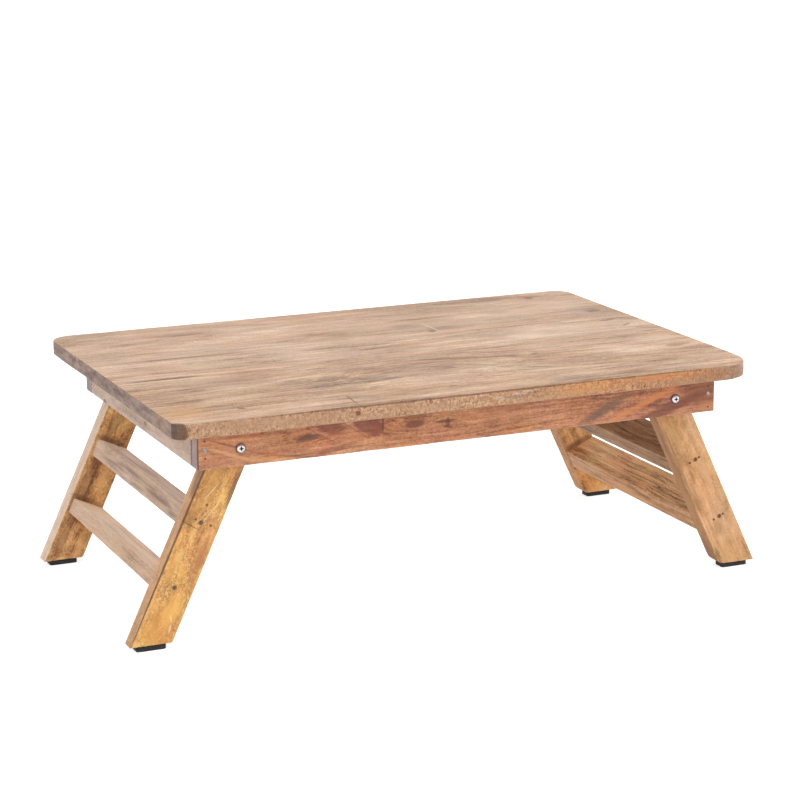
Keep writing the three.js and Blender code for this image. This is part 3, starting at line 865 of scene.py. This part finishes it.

# Marks on the boards, some of them painted light and shade. The look of each is its share, how ragged
# and how soft its rim is and, where it is turned, the angle in degrees
TOP_FACE = 7
MARKS = {
    # Painted light: the spot at x 200, y -60 is a broad, soft lighter patch over the top's right part, as on
    # the other planks
    "top_plank_front": spots(TOP_FACE, """
-250 -31.6 47 1.5  74 54 48  1 .1 .4
-180 -33 40 1.1  132 104 88  .7 .3 .6 1
-200 -72 62 26  168 138 118  .55 .7 .8
-128 -121 15 6  130 114 122  .75 .7 .9
-84 -122 52 2.6  96 78 66  .9 .35 .6
-72 -111 28 12  128 108 86  .7 .8 .9 4
-52 -118 17 6  110 88 96  .8 .6 .8
-10 -98 95 42  176 146 126  .45 .6 .7 -4
14 -99 16 15  140 112 88  .6 .8 .9
6 -91 8 1.9  98 72 54  .8 .5 .7 -20
19 -101 10 1.9  98 72 54  .8 .5 .7 -30
25 -62 56 2.6  118 90 72  .8 .3 .8 -12.5
86 -77 34 3.6  112 86 70  .85 .4 .8 -9
119 -81 6 2.4  86 60 54  .95 .3 .5
155 -85 44 2.4  128 100 80  .75 .4 .8 -5
45 -99 44 2.4  122 92 72  .75 .3 .8 -32
97 -135 28 3.8  108 78 58  .9 .4 .8 -22
105 -192 30 13  164 138 136  .6 .8 .9
172 -190 24 6  182 128 86  .6 .7 .7
200 -60 110 40  238 206 180  .3 .4 .9
268 -66 38 19  240 210 184  .6 .5 .7
140 -152 72 7  234 202 174  .5 .6 .8 -5
270 -103 18 5  140 106 82  .7 1.3 .4
-276 -170 36 38  222 168 108  .55 .6 .95
-224 -174 4.5 3  108 78 56  .95 .3 .4
-12 -174 6 2  118 86 64  .85 .5 .5
-120 -185 1.1 24  112 78 56  .9 .3 .5 -4
""") + marks_of("""
-300 -210 0  14 13 14  80 58 46  1 .1 .25
-300 -30.6 0  2 1.6 9  56 42 40  .9 .1 .5
20 -210 -.4  7 3 2.4  222 208 196  .5 1.2 .6
36 -210 2.4  9 3 1.3  224 212 200  .6 1.2 .6 -6
48 -210 4  7 3 1.1  220 206 192  .55 1.2 .6
42 -210 -.8  16 3 2.2  136 116 104  .7 1.1 .6
56 -210 2  8 3 1.2  112 92 82  .8 .8 .6
-124 -210 .5  3 4 3  112 70 38  1 .1 .35
0 -210 6.4  310 2.6 1.4  100 64 44  .8 .6 .5
112 -209 1  46 6 8  234 158 84  .45 .9 .7
196 -209 3  64 6 5  226 140 72  .5 .9 .7
250 -209 0  34 5 7  170 112 70  .5 .8 .7
285 -209 5  20 4 1.6  104 70 46  .85 .6 .6
286 -206 -3  26 16 6  150 112 90  .7 .6 .7
296 -190 4  8 12 4  226 222 216  .7 1.4 .3
"""),
    # Painted light: the spot at x 196, y 8 is part of the broad, soft lighter patch over the top's right part
    "top_plank_middle": spots(TOP_FACE, """
196 8 120 50  240 208 182  .35 .4 .9
152 0 30 19  240 212 182  .6 .7 .7
30 -14 28 14  228 200 172  .5 .7 .8
115 17 38 14  166 138 118  .6 .7 .8
263 35 11 2.6  116 84 62  .85 .5 .5
272 8 11 2.2  114 84 66  .8 .5 .5 35
283 -16 24 2  124 96 74  .7 .5 .6 -40
276 -29 16 1.6  108 80 62  .8 .4 .5
-200 14 58 22  230 202 168  .5 .6 .8
-250 -29.2 47 1.4  84 62 54  .95 .1 .4
-230 -22 66 1.3  236 210 184  .7 .3 .6
-190 51.8 84 1.4  108 84 74  .85 .3 .5
190 51.8 108 1.3  122 94 76  .75 .4 .6
30 42 90 1.8  228 200 176  .55 .4 .6 1
""") + marks_of("-300 52.8 0  2 1.4 9  60 46 44  .8 .1 .5"),
    # Painted light: the spot at x 190, y 120 is part of the broad, soft lighter patch over the top's right
    # part
    "top_plank_back": spots(TOP_FACE, """
-212 54.6 80 1.5  108 84 74  .85 .3 .5
-137 67 20 7  168 148 146  .6 .7 .7
-137 95 15 7  226 164 118  .5 .7 .7
79 86 1.3 28  238 212 188  .8 .3 .4 3
73 64 6 6  112 86 66  .85 .4 .7
58 98 28 18  166 138 124  .65 .5 .8
112 80 34 20  184 156 138  .55 .6 .7
176 124 21 12  156 126 108  .7 .8 .6
170 155 44 3  168 138 118  .6 .6 .7
175 98 34 2.6  154 124 104  .6 .6 .7
272 88 12 8  106 72 62  .9 .9 .6 -20
262 94 26 12  176 156 158  .55 .8 .7
242 181 7 5  134 80 70  .9 .7 .5
-25 192 44 7  218 164 126  .5 .7 .7
-174 165 34 11  196 163 139  .6 .5 .7
190 120 110 60  240 208 182  .32 .4 .9
30 135 72 10  228 198 172  .45 .7 .8
252 130 42 28  228 198 176  .4 .6 .8
"""),
    # Painted shadow: apron_front's dark discs at x -227.8 and 224.3 round the bolt heads, and its long dark
    # line along the top edge at y 18.6, under the top
    "apron_front": spots(10, """
-245 2 60 30  214 150 110  .35 .4 .9
-236 1 36 1.6  126 78 52  .8 .4 .6 -20
-240 -6 34 2.4  236 180 128  .7 .4 .7 -20
-200 -10 42 2.4  198 116 72  .7 .5 .7 -16
-170 -16 40 1.6  122 76 56  .6 .4 .6 -8
-163 1 15 4.5  90 62 50  1 .6 .5 6
-139 9 19 9  126 66 58  .9 .25 .4 -24
-101 7 20 11  130 68 58  .95 .25 .3 -30
-104 15.5 22 4  92 66 74  .95 .3 .5 -4
-86.6 8 1.2 12  92 52 42  .95 .2 .4
-116 4 30 1.2  104 60 48  .5 .4 .7 -34
-146 0 22 1.2  104 62 50  .5 .4 .7 -30
-136 -13 34 4  140 84 66  .7 .6 .6 12
-200 -15 54 4  228 164 108  .6 .5 .8 -6
-120 -2 34 9  206 130 92  .5 .5 .8 -10
-54 2.5 12 4.5  92 52 54  1 .2 .4 2
-54 2.5 16 6.5  150 88 62  .5 .2 .3 2
-22 2 13 1.8  88 52 32  1 .5 .4
-20 1 2.4 5  92 54 34  1 .5 .4
-20 -3.5 6 1.6  96 56 34  .95 .5 .5 -12
30 0 70 10  212 144 98  .4 .7 .9
60 9 50 4  146 98 70  .5 .9 .8 6
146 -5 40 7  112 88 76  .95 .5 .7 24
190 -3 66 4.6  222 142 86  .9 .3 .7 21
214 -12 70 7  116 64 50  .95 .35 .6 17
252 6 34 28  134 78 58  .8 .5 .7 10
258 -12 14 9  196 138 98  .6 .5 .8 10
180 12 70 2.6  156 92 62  .6 .5 .7 14
-227.8 -1.6 6 6  60 40 30  .85 .1 .35
224.3 -1.6 6 6  60 38 30  .85 .1 .35
""") + marks_of("""
0 18.6 9.8  270 1.7 4  104 64 48  .65 .5 .7
-269.2 0 -9.8  3 60 5  40 32 30  1 0 .35
-269.2 0 9.8  1.4 60 2.6  56 38 36  .95 .1 .4
"""),
    "apron_left": spots(7, """
-113 -16.5 6 2.4  84 58 40  .95 .2 .4
22 -9.8 5 2.4  84 64 40  .95 .2 .4
22 -9.8 14 6  160 124 98  .5 .3 .8
"""),
    "leg_front_left": spots(-9, """
68 8 26 8  150 114 64  .5 .9 .7 4
82 12 12 6  136 104 60  .45 .8 .7
115 -13 34 6  188 124 84  .75 .6 .7
36 -19 30 5  108 74 66  .85 .5 .6 2
184 -1 30 19  230 162 84  .75 .4 .7
168 -7 20 11  246 188 104  .8 .4 .7
128 9 22 7  222 156 88  .6 .5 .8
190 -12 20 5  206 142 78  .6 .5 .7
40 2 26 12  198 146 80  .5 .9 .8
52 -11 8 4  250 204 124  .7 .8 .6
94 2 12 5  250 202 124  .7 .9 .6
117 6 12 5  248 200 124  .7 .9 .6
85 8 .8 13  112 78 44  .9 .3 .5 8
62 .3 1.7 1.7  78 50 32  1 .1 .5
78 5.1 1.6 1.6  78 50 32  1 .1 .5
79 -11 1.8 1.8  90 56 34  1 .1 .5
68 -6 19 .9  252 222 168  .75 .1 .6 18
49.5 1.4 13 .9  252 224 172  .7 .1 .6 20
72 -1 12 .7  250 216 156  .6 .1 .6 24
182.5 -12.3 6 1.1  254 232 184  .9 .1 .6 -7
173 -9.4 5.5 1  254 228 176  .85 .1 .6 -33
186 -2 9 .7  248 208 140  .6 .1 .6 30
112 -14 14 6  196 128 82  .6 .8 .6
160 -11 16 8  250 194 104  .6 .6 .7
""") + marks_of("""
110 16.4 -9  150 1.6 2  84 30 14  1 .1 .3 .5
40 17 -4  26 4 8  116 80 60  .8 .2 .5
"""),
    "leg_back_left": spots(-10, """
60 4 34 8  118 84 50  .6 .9 .7 4
126 8 70 8  124 82 56  .6 .5 .6 2
130 3 60 1.8  88 56 34  .7 .4 .6 2
188 8 26 8  150 100 68  .6 .6 .7
107 -7 20 6  238 184 118  .6 .7 .7
180 -12 24 6  240 186 118  .6 .7 .7
120 -10 70 8  222 168 104  .4 .6 .9
"""),
    "leg_front_right": spots(10, """
44 -8 30 9  190 148 92  .7 .8 .7
70 -15 60 2.2  138 94 56  .75 .5 .6
120 -12 30 5  170 124 78  .6 .7 .7
100 6 30 9  226 176 140  .5 .6 .9
160 -2 12 7  170 126 84  .7 .9 .6
190 0 26 16  206 152 98  .5 .5 .8
186 -14 16 3  134 90 58  .7 .9 .6
74 -12 11 4.5  158 116 70  .75 .8 .7
124 -13 13 4  152 106 66  .7 .8 .7
26 -13 16 4  214 162 112  .5 .7 .8
""") + marks_of("""
184 -17 -2  26 5 10  150 110 88  .75 .4 .7
"""),
    "leg_back_right": spots(10, """
60 0 30 14  146 94 56  .6 .8 .7
196 -4 26 14  234 166 90  .6 .6 .8
"""),
    # Painted shade: rung_upper_left's three dark marks at y 13.9 are the shade of a worn chamfer along its
    # outer face
    "rung_upper_left": marks_of("""
14 13.9 3.4  50 5 3.2  122 96 86  .75 .3 .8
-74 13.9 -.6  62 5 3.6  110 84 76  .85 .3 .8
-120 13.9 -5  22 5 3.6  120 92 80  .7 .3 .8
20 2 9  120 1.4 4  120 96 84  .7 .5 .6 1
"""),
}

PLANK = dict(bands=0.4, grit=0.3, end_tones=TOP_END_TONES, tint=0.07, worn=(200, 164, 134))
LEG = dict(streaks=0.2, strokes=0.1)
LEFT_RUNG = dict(rings=0.1, pith=(10.0, -30.0), streaks=0.3, strokes=0.2, lines=0.3, pores=0.2, tint=0.08)
RIGHT_RUNG = dict(rings=0.25, pith=(-8.0, -28.0), streaks=0.4, lines=0.4, ring=3.4, strokes=0.5, pores=0.3)
LOOKS = {
    "top_plank_front": dict(
        PLANK, seed=3, side=FRONT_EDGE, saw=1.4, pith=(-120.0, -70.0), tilt=(0.02, 0.0), streaks=0.4,
        lines=0.3, strokes=0.4,
        flows=[flow((-5, -92, 7), (85, 48, 60), -26.0), flow((14, -100, 7), (20, 9, 40), 8.0)]),
    "top_plank_middle": dict(
        PLANK, seed=8, pith=(10.0, -80.0), tilt=(-0.01, 0.0), streaks=0.35, lines=0.28, strokes=0.35),
    "top_plank_back": dict(
        PLANK, seed=15, side=BACK_EDGE, saw=1.0, pith=(150.0, -90.0), tilt=(0.01, 0.0), streaks=0.25,
        lines=0.18, strokes=0.2),
    "apron_front": dict(
        seed=21, end_tones=APRON_END_TONES, pith=(30.0, -22.0), tilt=(0.09, 0.03), rings=0.3, ring=4.4,
        streaks=0.3, bands=0.15, patches=0.25, mottle=0.2, grit=0.32, lines=0.25, strokes=0.35,
        blotches=0.5, tint=0.16, varnish=0.16, rough=0.52,
        flows=[flow((-54, 2.5, 10), (22, 7, 30), 7.0), flow((-120, 4, 10), (40, 14, 30), -12.0),
               flow((-22, 1, 10), (16, 6, 30), -5.0)]),
    "apron_back": dict(
        seed=33, end_tones=APRON_END_TONES, pith=(-24.0, -26.0), tilt=(-0.06, 0.02), rings=0.22, ring=4.8,
        streaks=0.35, patches=0.5, mottle=0.25, grit=0.2, blotches=0.5, rough=0.55),
    "apron_left": dict(
        seed=41, pith=(12.0, -40.0), rings=0.1, streaks=0.25, strokes=0.15, lines=0.12, mottle=0.2,
        pores=0.15, tint=0.08),
    "apron_right": dict(seed=47, pith=(16.0, -40.0), rings=0.25),
    "leg_front_left": dict(
        LEG, seed=52, pith=(8.0, -26.0), rings=0.06, bands=0.2, patches=0.3, mottle=0.38, grit=0.32,
        fibres=0.1, lines=0.1, varnish=0.6, pores=0.1, blotches=0.3, rough=0.5,
        faces=[((-0.906, 0, 0.423), (192, 145, 103), 0.2), ((0.906, 0, -0.423), (172, 130, 92), 0.2)]),
    "leg_back_left": dict(
        LEG, seed=57, pith=(-6.0, -26.0), rings=0.05, streaks=0.15, patches=0.35, mottle=0.45, grit=0.35,
        lines=0.1, pores=0.15, varnish=0.4, blotches=0.4,
        faces=[((-0.906, 0, 0.423), (216, 190, 168), 0.75), ((0.906, 0, -0.423), (190, 146, 100), 0.2)]),
    "leg_front_right": dict(
        LEG, seed=63, pith=(6.0, -30.0), rings=0.1, bands=0.3, patches=0.45, mottle=0.2, grit=0.24,
        lines=0.12, pores=0.1, blotches=0.4,
        faces=[((-0.906, 0, -0.423), (178, 132, 86), 0.1), ((0.906, 0, 0.423), (206, 158, 114), 0.2)]),
    "leg_back_right": dict(
        LEG, seed=69, pith=(-8.0, -30.0), rings=0.1, patches=0.35, mottle=0.4, grit=0.3, lines=0.12,
        strokes=0.15, pores=0.2, blotches=0.5, varnish=0.3,
        faces=[((-0.906, 0, -0.423), (214, 164, 116), 0.2)]),
    # Painted light and shade: the left rungs' upper faces get lighter tones, lit as if the top shaded them
    # less, and the upper right rung's face tone is darkened like its tones
    "rung_upper_left": dict(LEFT_RUNG, seed=181, faces=[((0.423, 0, 0.906), (250, 232, 220), 0.2)]),
    "rung_lower_left": dict(LEFT_RUNG, seed=176, faces=[((0.423, 0, 0.906), (250, 224, 198), 0.2)]),
    "rung_upper_right": dict(RIGHT_RUNG, seed=190, faces=[((-0.906, 0, -0.423), (182, 144, 112), 0.2)]),
    "rung_lower_right": dict(RIGHT_RUNG, seed=185, faces=[((-0.906, 0, -0.423), (226, 176, 130), 0.2)]),
}


# The table's boards


def plank_extent(y):
    """Ends of the top at a depth, with its rounded corners and the worn end of its right edge."""
    near = TOP_HALF[1] - abs(y)
    left, right = TOP_CORNERS["front" if y < 0 else "back"]
    share = min(max((RIGHT_EDGE_WORN_FROM - y) / (TOP_HALF[1] + RIGHT_EDGE_WORN_FROM), 0.0), 1.0)
    worn = RIGHT_EDGE_WEAR * share * share * (3 - 2 * share)
    return -TOP_HALF[0] + corner_cut(near, left), TOP_HALF[0] - worn - corner_cut(near, right)


def add_top():
    radii = {"front": (TOP_CORNERS["front"], ()), "middle": ((), ()), "back": ((), TOP_CORNERS["back"])}
    place = axes((0, 0, TOP_MIDDLE), (1, 0, 0), (0, 1, 0))
    for end_name, across in PLANKS.items():
        name = "top_plank_" + end_name
        seams = [y for y in across if abs(y) < TOP_HALF[1]]
        mesh = board_mesh(name, across, plank_extent, TOP_THICKNESS, radii[end_name], TOP_ARRIS,
                          FINE_STEP if end_name == "front" else STEP, seams)
        wooden(name, mesh, place, "table", "top_wood")


def add_aprons():
    rows = {"apron_front": (LONG_APRON, 0, -1), "apron_back": (LONG_APRON, 0, 1),
            "apron_left": (END_APRON, -1, 0), "apron_right": (END_APRON, 1, 0)}
    width = (-APRON_HEIGHT / 2, APRON_HEIGHT / 2)
    for name, (size, out_x, out_y) in rows.items():
        depth = size["face"] - size["thickness"] / 2
        mesh = board_mesh(name, width, straight(size["half"], width), size["thickness"])
        place = axes((out_x * depth, out_y * depth, APRON_MIDDLE), (-out_y, out_x, 0), (0, 0, 1))
        wooden(name, mesh, place, "table", size["slot"])


def foot_place(y, clearance=0.0):
    """How far down the leg from its pivot the foot's cut lies at a place across it."""
    drop = PIVOT_HEIGHT - LEG_BOTTOM - clearance
    return (drop + y * math.sin(LEAN)) / math.cos(LEAN)


def leg_extent(side):
    """Ends of a leg at a place across it: round at the pivot, cut level at the floor."""
    reach = max(side["outer"], side["inner"])
    corner = side["corner"]
    corner_y = corner - side["inner"]
    corner_x = foot_place(corner_y, corner)
    tangent = corner_y - corner * math.sin(LEAN)

    def extent(y):
        head = -math.sqrt(max(reach ** 2 - y ** 2, 0.0))
        foot = foot_place(y)
        if y < tangent:
            foot = corner_x + math.sqrt(max(corner ** 2 - (y - corner_y) ** 2, 0.0))
        return head, foot

    return extent


def leg_ways(side):
    """Directions down a leg and across it, outwards."""
    out = side["out"]
    return (out * math.sin(LEAN), 0, -math.cos(LEAN)), (out * math.cos(LEAN), 0, math.sin(LEAN))


def nail_across(side):
    """Where the rung nails stand across a leg."""
    return (side["rung_outer"] - side["rung_inner"]) / 2 + RUNG_NAIL_OUT


def nail_rings(side, place_z, brads):
    """Dark rings round a leg's rung nails, and round the brads beside them."""
    rings = []
    across = nail_across(side)
    for place, _ in side["rungs"].values():
        along = place - RUNG_NAIL_LIFT
        rings.append(mark((along, across, place_z), (3.6, 3.6, 6), (92, 62, 40), 0.7, 0.25, 0.6))
        rings += [mark((along, across + brad, place_z), (1.8, 1.8, 6), (78, 50, 32), 0.8, 0.2, 0.5)
                  for brad in brads]
    return rings


def rung_shades(side, place_z):
    """Dust and shade on a leg's inner face, above where its rungs meet it."""
    return [mark((place - thickness / 2 - 2.5, 0, place_z), (5.5, 26, 6), (84, 56, 38), 0.8, 0.2, 0.9)
            for place, thickness in side["rungs"].values()]


def add_legs():
    for corner, side_name, end_name in corners():
        side, end = SIDES[side_name], ENDS[end_name]
        name = "leg_" + corner
        thickness = LEG_THICKNESS[corner]
        outer_face = -side["out"] * end * thickness / 2
        marks = nail_rings(side, outer_face, LEG_BRADS if side_name == "right" else ())
        if end_name == "back":
            marks += rung_shades(side, -outer_face)
        reach = max(side["outer"], side["inner"])
        inner_curves = (side["corner"], reach) if side["inner"] == reach else (side["corner"],)
        outer_curves = (reach,) if side["outer"] == reach else ()
        mesh = board_mesh(name, (-side["inner"], side["outer"]), leg_extent(side), thickness,
                          (inner_curves, outer_curves))
        origin = (side["out"] * side["pivot"], end * (LEG_FACE - thickness / 2), PIVOT_HEIGHT)
        wooden(name, mesh, axes(origin, *leg_ways(side)), side_name + "_leg_frame",
               side_name + "_leg_wood", marks)


def add_rungs():
    for side_name, side in SIDES.items():
        out = side["out"]
        low = -LEG_FACE + LEG_THICKNESS["front_" + side_name] + RUNG_GAP
        high = LEG_FACE - LEG_THICKNESS["back_" + side_name] - RUNG_GAP
        width = (-side["rung_inner"], side["rung_outer"])
        for level, (down, thickness) in side["rungs"].items():
            name = f"rung_{level}_{side_name}"
            mesh = board_mesh(name, width, straight((high - low) / 2, width), thickness)
            origin = (out * (side["pivot"] + down * math.sin(LEAN)), (low + high) / 2,
                      PIVOT_HEIGHT - down * math.cos(LEAN))
            wooden(name, mesh, axes(origin, (0, 1, 0), leg_ways(side)[1]), side_name + "_leg_frame",
                   side_name + "_rung_wood")


add_top()
add_aprons()
add_legs()
add_rungs()


# Fasteners and pads

# Radii and heights of the fasteners. CROSS is the span, width and depth of the cross in a bolt's head
BOLT_SHANK = 2.0
BOLT_HEAD = 2.8
CROSS = (4.8, 1.5, 1.7)
RECESS_REACH = 2.5
WASHER_BORE = 2.3
NUT_FLAT = 3.5
NUT_HEX_HEIGHT = 3.2
HEAD_PROUD = 0.3
NAIL_HEAD = 2.2
BRAD_HEAD = 0.9
PAD_CORNER = 2.5
PAD_SEED = 91

ZINC = metal("zinc_plate", (214, 216, 218), 0.3, 0.45, 81.0)
BOLT_ZINC = metal("bolt_zinc", (214, 216, 218), 0.3, 0.45, 83.0, RECESS_REACH)
STEEL = metal("nail_steel", (150, 152, 152), 0.45, 0.7, 85.0)
OLD_STEEL = metal("old_nail_steel", (112, 106, 94), 0.55, 0.8, 86.0)
RUSTY_STEEL = metal("rusty_nail_steel", (138, 98, 66), 0.6, 0.8, 88.0)
DARK_STEEL = metal("dark_steel", (84, 74, 66), 0.55, 0.7, 87.0)
RUBBER = rubber("pad_rubber")
NYLON = nylon("nut_insert")


def facing_out(centre, end):
    """Frame at a place on a long face, its Z pointing out of the table at that end."""
    return axes(centre, (1, 0, 0), (0, 0, -end))


def middle_of(node):
    """Middle and size of a CAD node, in mm."""
    low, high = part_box(node)
    return (low + high) / 2 / MM, (high - low) / MM


def body_of_node(node):
    """Name of the body that a CAD node rides on."""
    carrier = frame["nodes"][node]
    while "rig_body" not in carrier:
        carrier = carrier.parent
    return carrier["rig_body"]


def zinc_piece(node, ending, mesh, place, replaced, material=ZINC):
    piece(node + ending, mesh, place, body_of_node(node), "zinc", replaced, [material])


def add_bolt(corner, end):
    """A pivot bolt, with a pan head and a cross in it."""
    node = "pivot_bolt_" + corner
    centre, (head, length, _) = middle_of(node)
    radius, seat = head / 2, -BOLT_HEAD
    profile = [(0, -length), (1.5, -length), (BOLT_SHANK, 0.5 - length), (BOLT_SHANK, seat), (3.6, seat),
               (3.92, seat + 0.12), (radius, seat + 0.4), (radius, seat + 1.1), (3.86, seat + 1.6),
               (3.5, seat + 2.1), (2.9, seat + 2.5), (2.0, -0.08), (1.0, -0.01), (0, 0)]
    mesh = smooth(cut_cross(turned(profile, 48), *CROSS), 40)
    centre[1] += end * length / 2
    piece("bolt_" + corner, mesh, facing_out(centre, end), "table", "zinc", [node], [BOLT_ZINC])


def add_washers_and_nut(corner, end):
    add_washer("spacer_washer_" + corner, end)
    add_washer("nut_washer_" + corner, end)
    add_nut("lock_nut_" + corner, end)


def add_washer(node, end):
    centre, size = middle_of(node)
    outer, half = size[0] / 2, size[1] / 2
    edge = half * 0.3
    profile = closed([(WASHER_BORE, -half), (outer - edge, -half), (outer, -half + edge),
                      (outer, half - edge), (outer - edge, half), (WASHER_BORE, half)])
    zinc_piece(node, "_ring", smooth(turned(profile, 40)), facing_out(centre, end), [node])


def hexagon(angle):
    """Reach of a nut's six flats at an angle."""
    return NUT_FLAT / math.cos((angle % (math.pi / 3)) - math.pi / 6)


def add_nut(node, end):
    """A hexagonal lock nut and its nylon insert."""
    centre, size = middle_of(node)
    place = facing_out(centre, end)
    base, top = size[1] / 2, -size[1] / 2
    corner, shoulder = hexagon(0), base - NUT_HEX_HEIGHT
    profile = closed([(2.05, base), (3.4, base), (corner, base - 0.4), (corner, shoulder + 0.5),
                      (3.3, shoulder), (3.1, shoulder - 0.3), (3.1, top + 0.4), (2.8, top),
                      (2.3, top), (2.05, top + 0.4)])
    ring = closed([(2.02, top + 0.35), (2.28, top + 0.05), (2.28, top + 1.2), (2.02, top + 1.2)])
    zinc_piece(node, "_hex", smooth(turned(profile, 48, hexagon), 25), place, [node])
    zinc_piece(node, "_insert", smooth(turned(ring, 32)), place, (), NYLON)


def nail_metal(node):
    if "brad" in node:
        return DARK_STEEL
    if node.startswith("rung_nail"):
        return OLD_STEEL if "left" in node else RUSTY_STEEL
    return STEEL


def add_nail(node):
    """A nail or brad, its head just proud of a long apron or leg, or level with the top."""
    centre, size = middle_of(node)
    head = BRAD_HEAD if "brad" in node else NAIL_HEAD
    axis = max(range(3), key=lambda number: size[number])
    upright = axis == 2
    out = 1 if centre[axis] > 0 else -1
    face = Vector(centre)
    face[axis] += out * (size[axis] / 2 + (0.0 if upright else HEAD_PROUD))
    down = size[axis] - 0.05
    profile = [(0, -down), (head * 0.4, -down + 1.5), (head * 0.45, -0.8), (head * 0.94, -0.8),
               (head, -0.55), (head * 0.93, -0.12), (head * 0.7, -0.02), (head * 0.3, 0), (0, 0)]
    place = axes(face, (1, 0, 0), (0, 1, 0)) if upright else facing_out(face, out)
    piece(node + "_driven", smooth(turned(profile, 28), 50), place, body_of_node(node), "nail_steel",
          [node], [nail_metal(node)])


def add_leg_brads():
    """Brads on either side of the right legs' rung nails."""
    side = SIDES["right"]
    profile = [(0, -20), (0.4, -19), (0.45, -0.5), (BRAD_HEAD, -0.5), (BRAD_HEAD, -0.2), (0.7, 0), (0, 0)]
    for end_name, end in ENDS.items():
        for level, (down, _) in side["rungs"].items():
            for number, brad in enumerate(LEG_BRADS):
                along, across = down - RUNG_NAIL_LIFT, nail_across(side) + brad
                x = side["pivot"] + along * math.sin(LEAN) + across * math.cos(LEAN)
                z = PIVOT_HEIGHT - along * math.cos(LEAN) + across * math.sin(LEAN)
                place = facing_out((x, end * (LEG_FACE + 0.1), z), end)
                piece(f"leg_brad_{level}_{end_name}_{number + 1}", smooth(turned(profile, 20), 50), place,
                      "right_leg_frame", "nail_steel", (), [DARK_STEEL])


def add_pad(node, side_name):
    centre, size = middle_of(node)
    width = (-size[1] / 2, size[1] / 2)
    mesh = board_mesh(node, width, straight(size[0] / 2, width, PAD_CORNER), size[2],
                      ((PAD_CORNER,), (PAD_CORNER,)), arris=0.6, pitch=2.0, wear=0.1, wave=0.05)
    board(node, mesh, axes(centre, (1, 0, 0), (0, 1, 0)), side_name + "_leg_frame", "rubber", RUBBER)


for add in (add_bolt, add_washers_and_nut):
    for corner, _, end_name in corners():
        add(corner, ENDS[end_name])
for node in sorted(frame["nodes"]):
    if node.startswith(("corner_nail", "corner_brad", "rung_nail", "top_nail")):
        add_nail(node)
add_leg_brads()
for corner, side_name, _ in corners():
    add_pad("foot_pad_" + corner, side_name)


# Studio


def add_floor():
    paint = new_paint("studio_floor")
    cloud = paint.noise(paint.node("TexCoord", output="Object"), (0.8, 0.8, 0.8), 2.0)
    pale = paint.mix(cloud, linear((236, 236, 236)), linear((240, 240, 240)))
    glow = paint.node("Emission", {"Color": (1, 1, 1, 1), "Strength": paint.times(paint.seen(), FLOOR_GLOW)})
    matte = paint.node("BsdfDiffuse", {"Color": pale})
    paint.node("OutputMaterial", {"Surface": paint.node("AddShader", {0: matte, 1: glow})})
    made = bmesh.new()
    bmesh.ops.create_grid(made, x_segments=8, y_segments=8, size=FLOOR_HALF)
    mesh = finished(made, "studio_floor")
    floor = bpy.data.objects.new("studio_floor", mesh)
    mesh.materials.append(paint.owner)
    bpy.context.scene.collection.objects.link(floor)


def add_world():
    world = bpy.data.worlds.new("studio")
    bpy.context.scene.world = world
    paint = Paint(world)
    strength = paint.scale(paint.seen(), 0.0, 1.0, AMBIENT, 1.0)
    back = paint.node("Background", {"Color": (1, 1, 1, 1), "Strength": strength})
    paint.node("OutputWorld", {"Surface": back})


def add_lamps():
    for name, place, target, size, power in LAMPS:
        lamp = bpy.data.lights.new(name, "AREA")
        lamp.shape = "SQUARE"
        lamp.size = size
        lamp.energy = power
        made = bpy.data.objects.new(name, lamp)
        made.location = place
        made.rotation_euler = (Vector(target) - Vector(place)).to_track_quat("-Z", "Y").to_euler()
        bpy.context.scene.collection.objects.link(made)


def add_camera():
    yaw, pitch, roll = (math.radians(a) for a in (CAMERA_YAW, CAMERA_PITCH, CAMERA_ROLL))
    ahead = Vector((math.sin(yaw) * math.cos(pitch), math.cos(yaw) * math.cos(pitch), math.sin(pitch)))
    level = Vector((math.cos(yaw), -math.sin(yaw), 0))
    upright = level.cross(ahead)
    right = level * math.cos(roll) + upright * math.sin(roll)
    up = upright * math.cos(roll) - level * math.sin(roll)
    lens = bpy.data.cameras.new("camera")
    lens.sensor_width = SENSOR
    lens.lens = CAMERA_FOCUS * SENSOR
    lens.shift_x, lens.shift_y = CAMERA_SHIFT
    lens.clip_end = VIEW_REACH
    camera = bpy.data.objects.new("camera", lens)
    turned_to = Matrix((right, up, -ahead)).transposed().to_4x4()
    camera.matrix_world = Matrix.Translation(Vector(CAMERA_PLACE) * MM) @ turned_to
    bpy.context.scene.collection.objects.link(camera)
    bpy.context.scene.camera = camera


add_floor()
add_world()
add_lamps()
add_camera()
bpy.context.scene.view_settings.view_transform = "Standard"

bpy.context.view_layer.update()
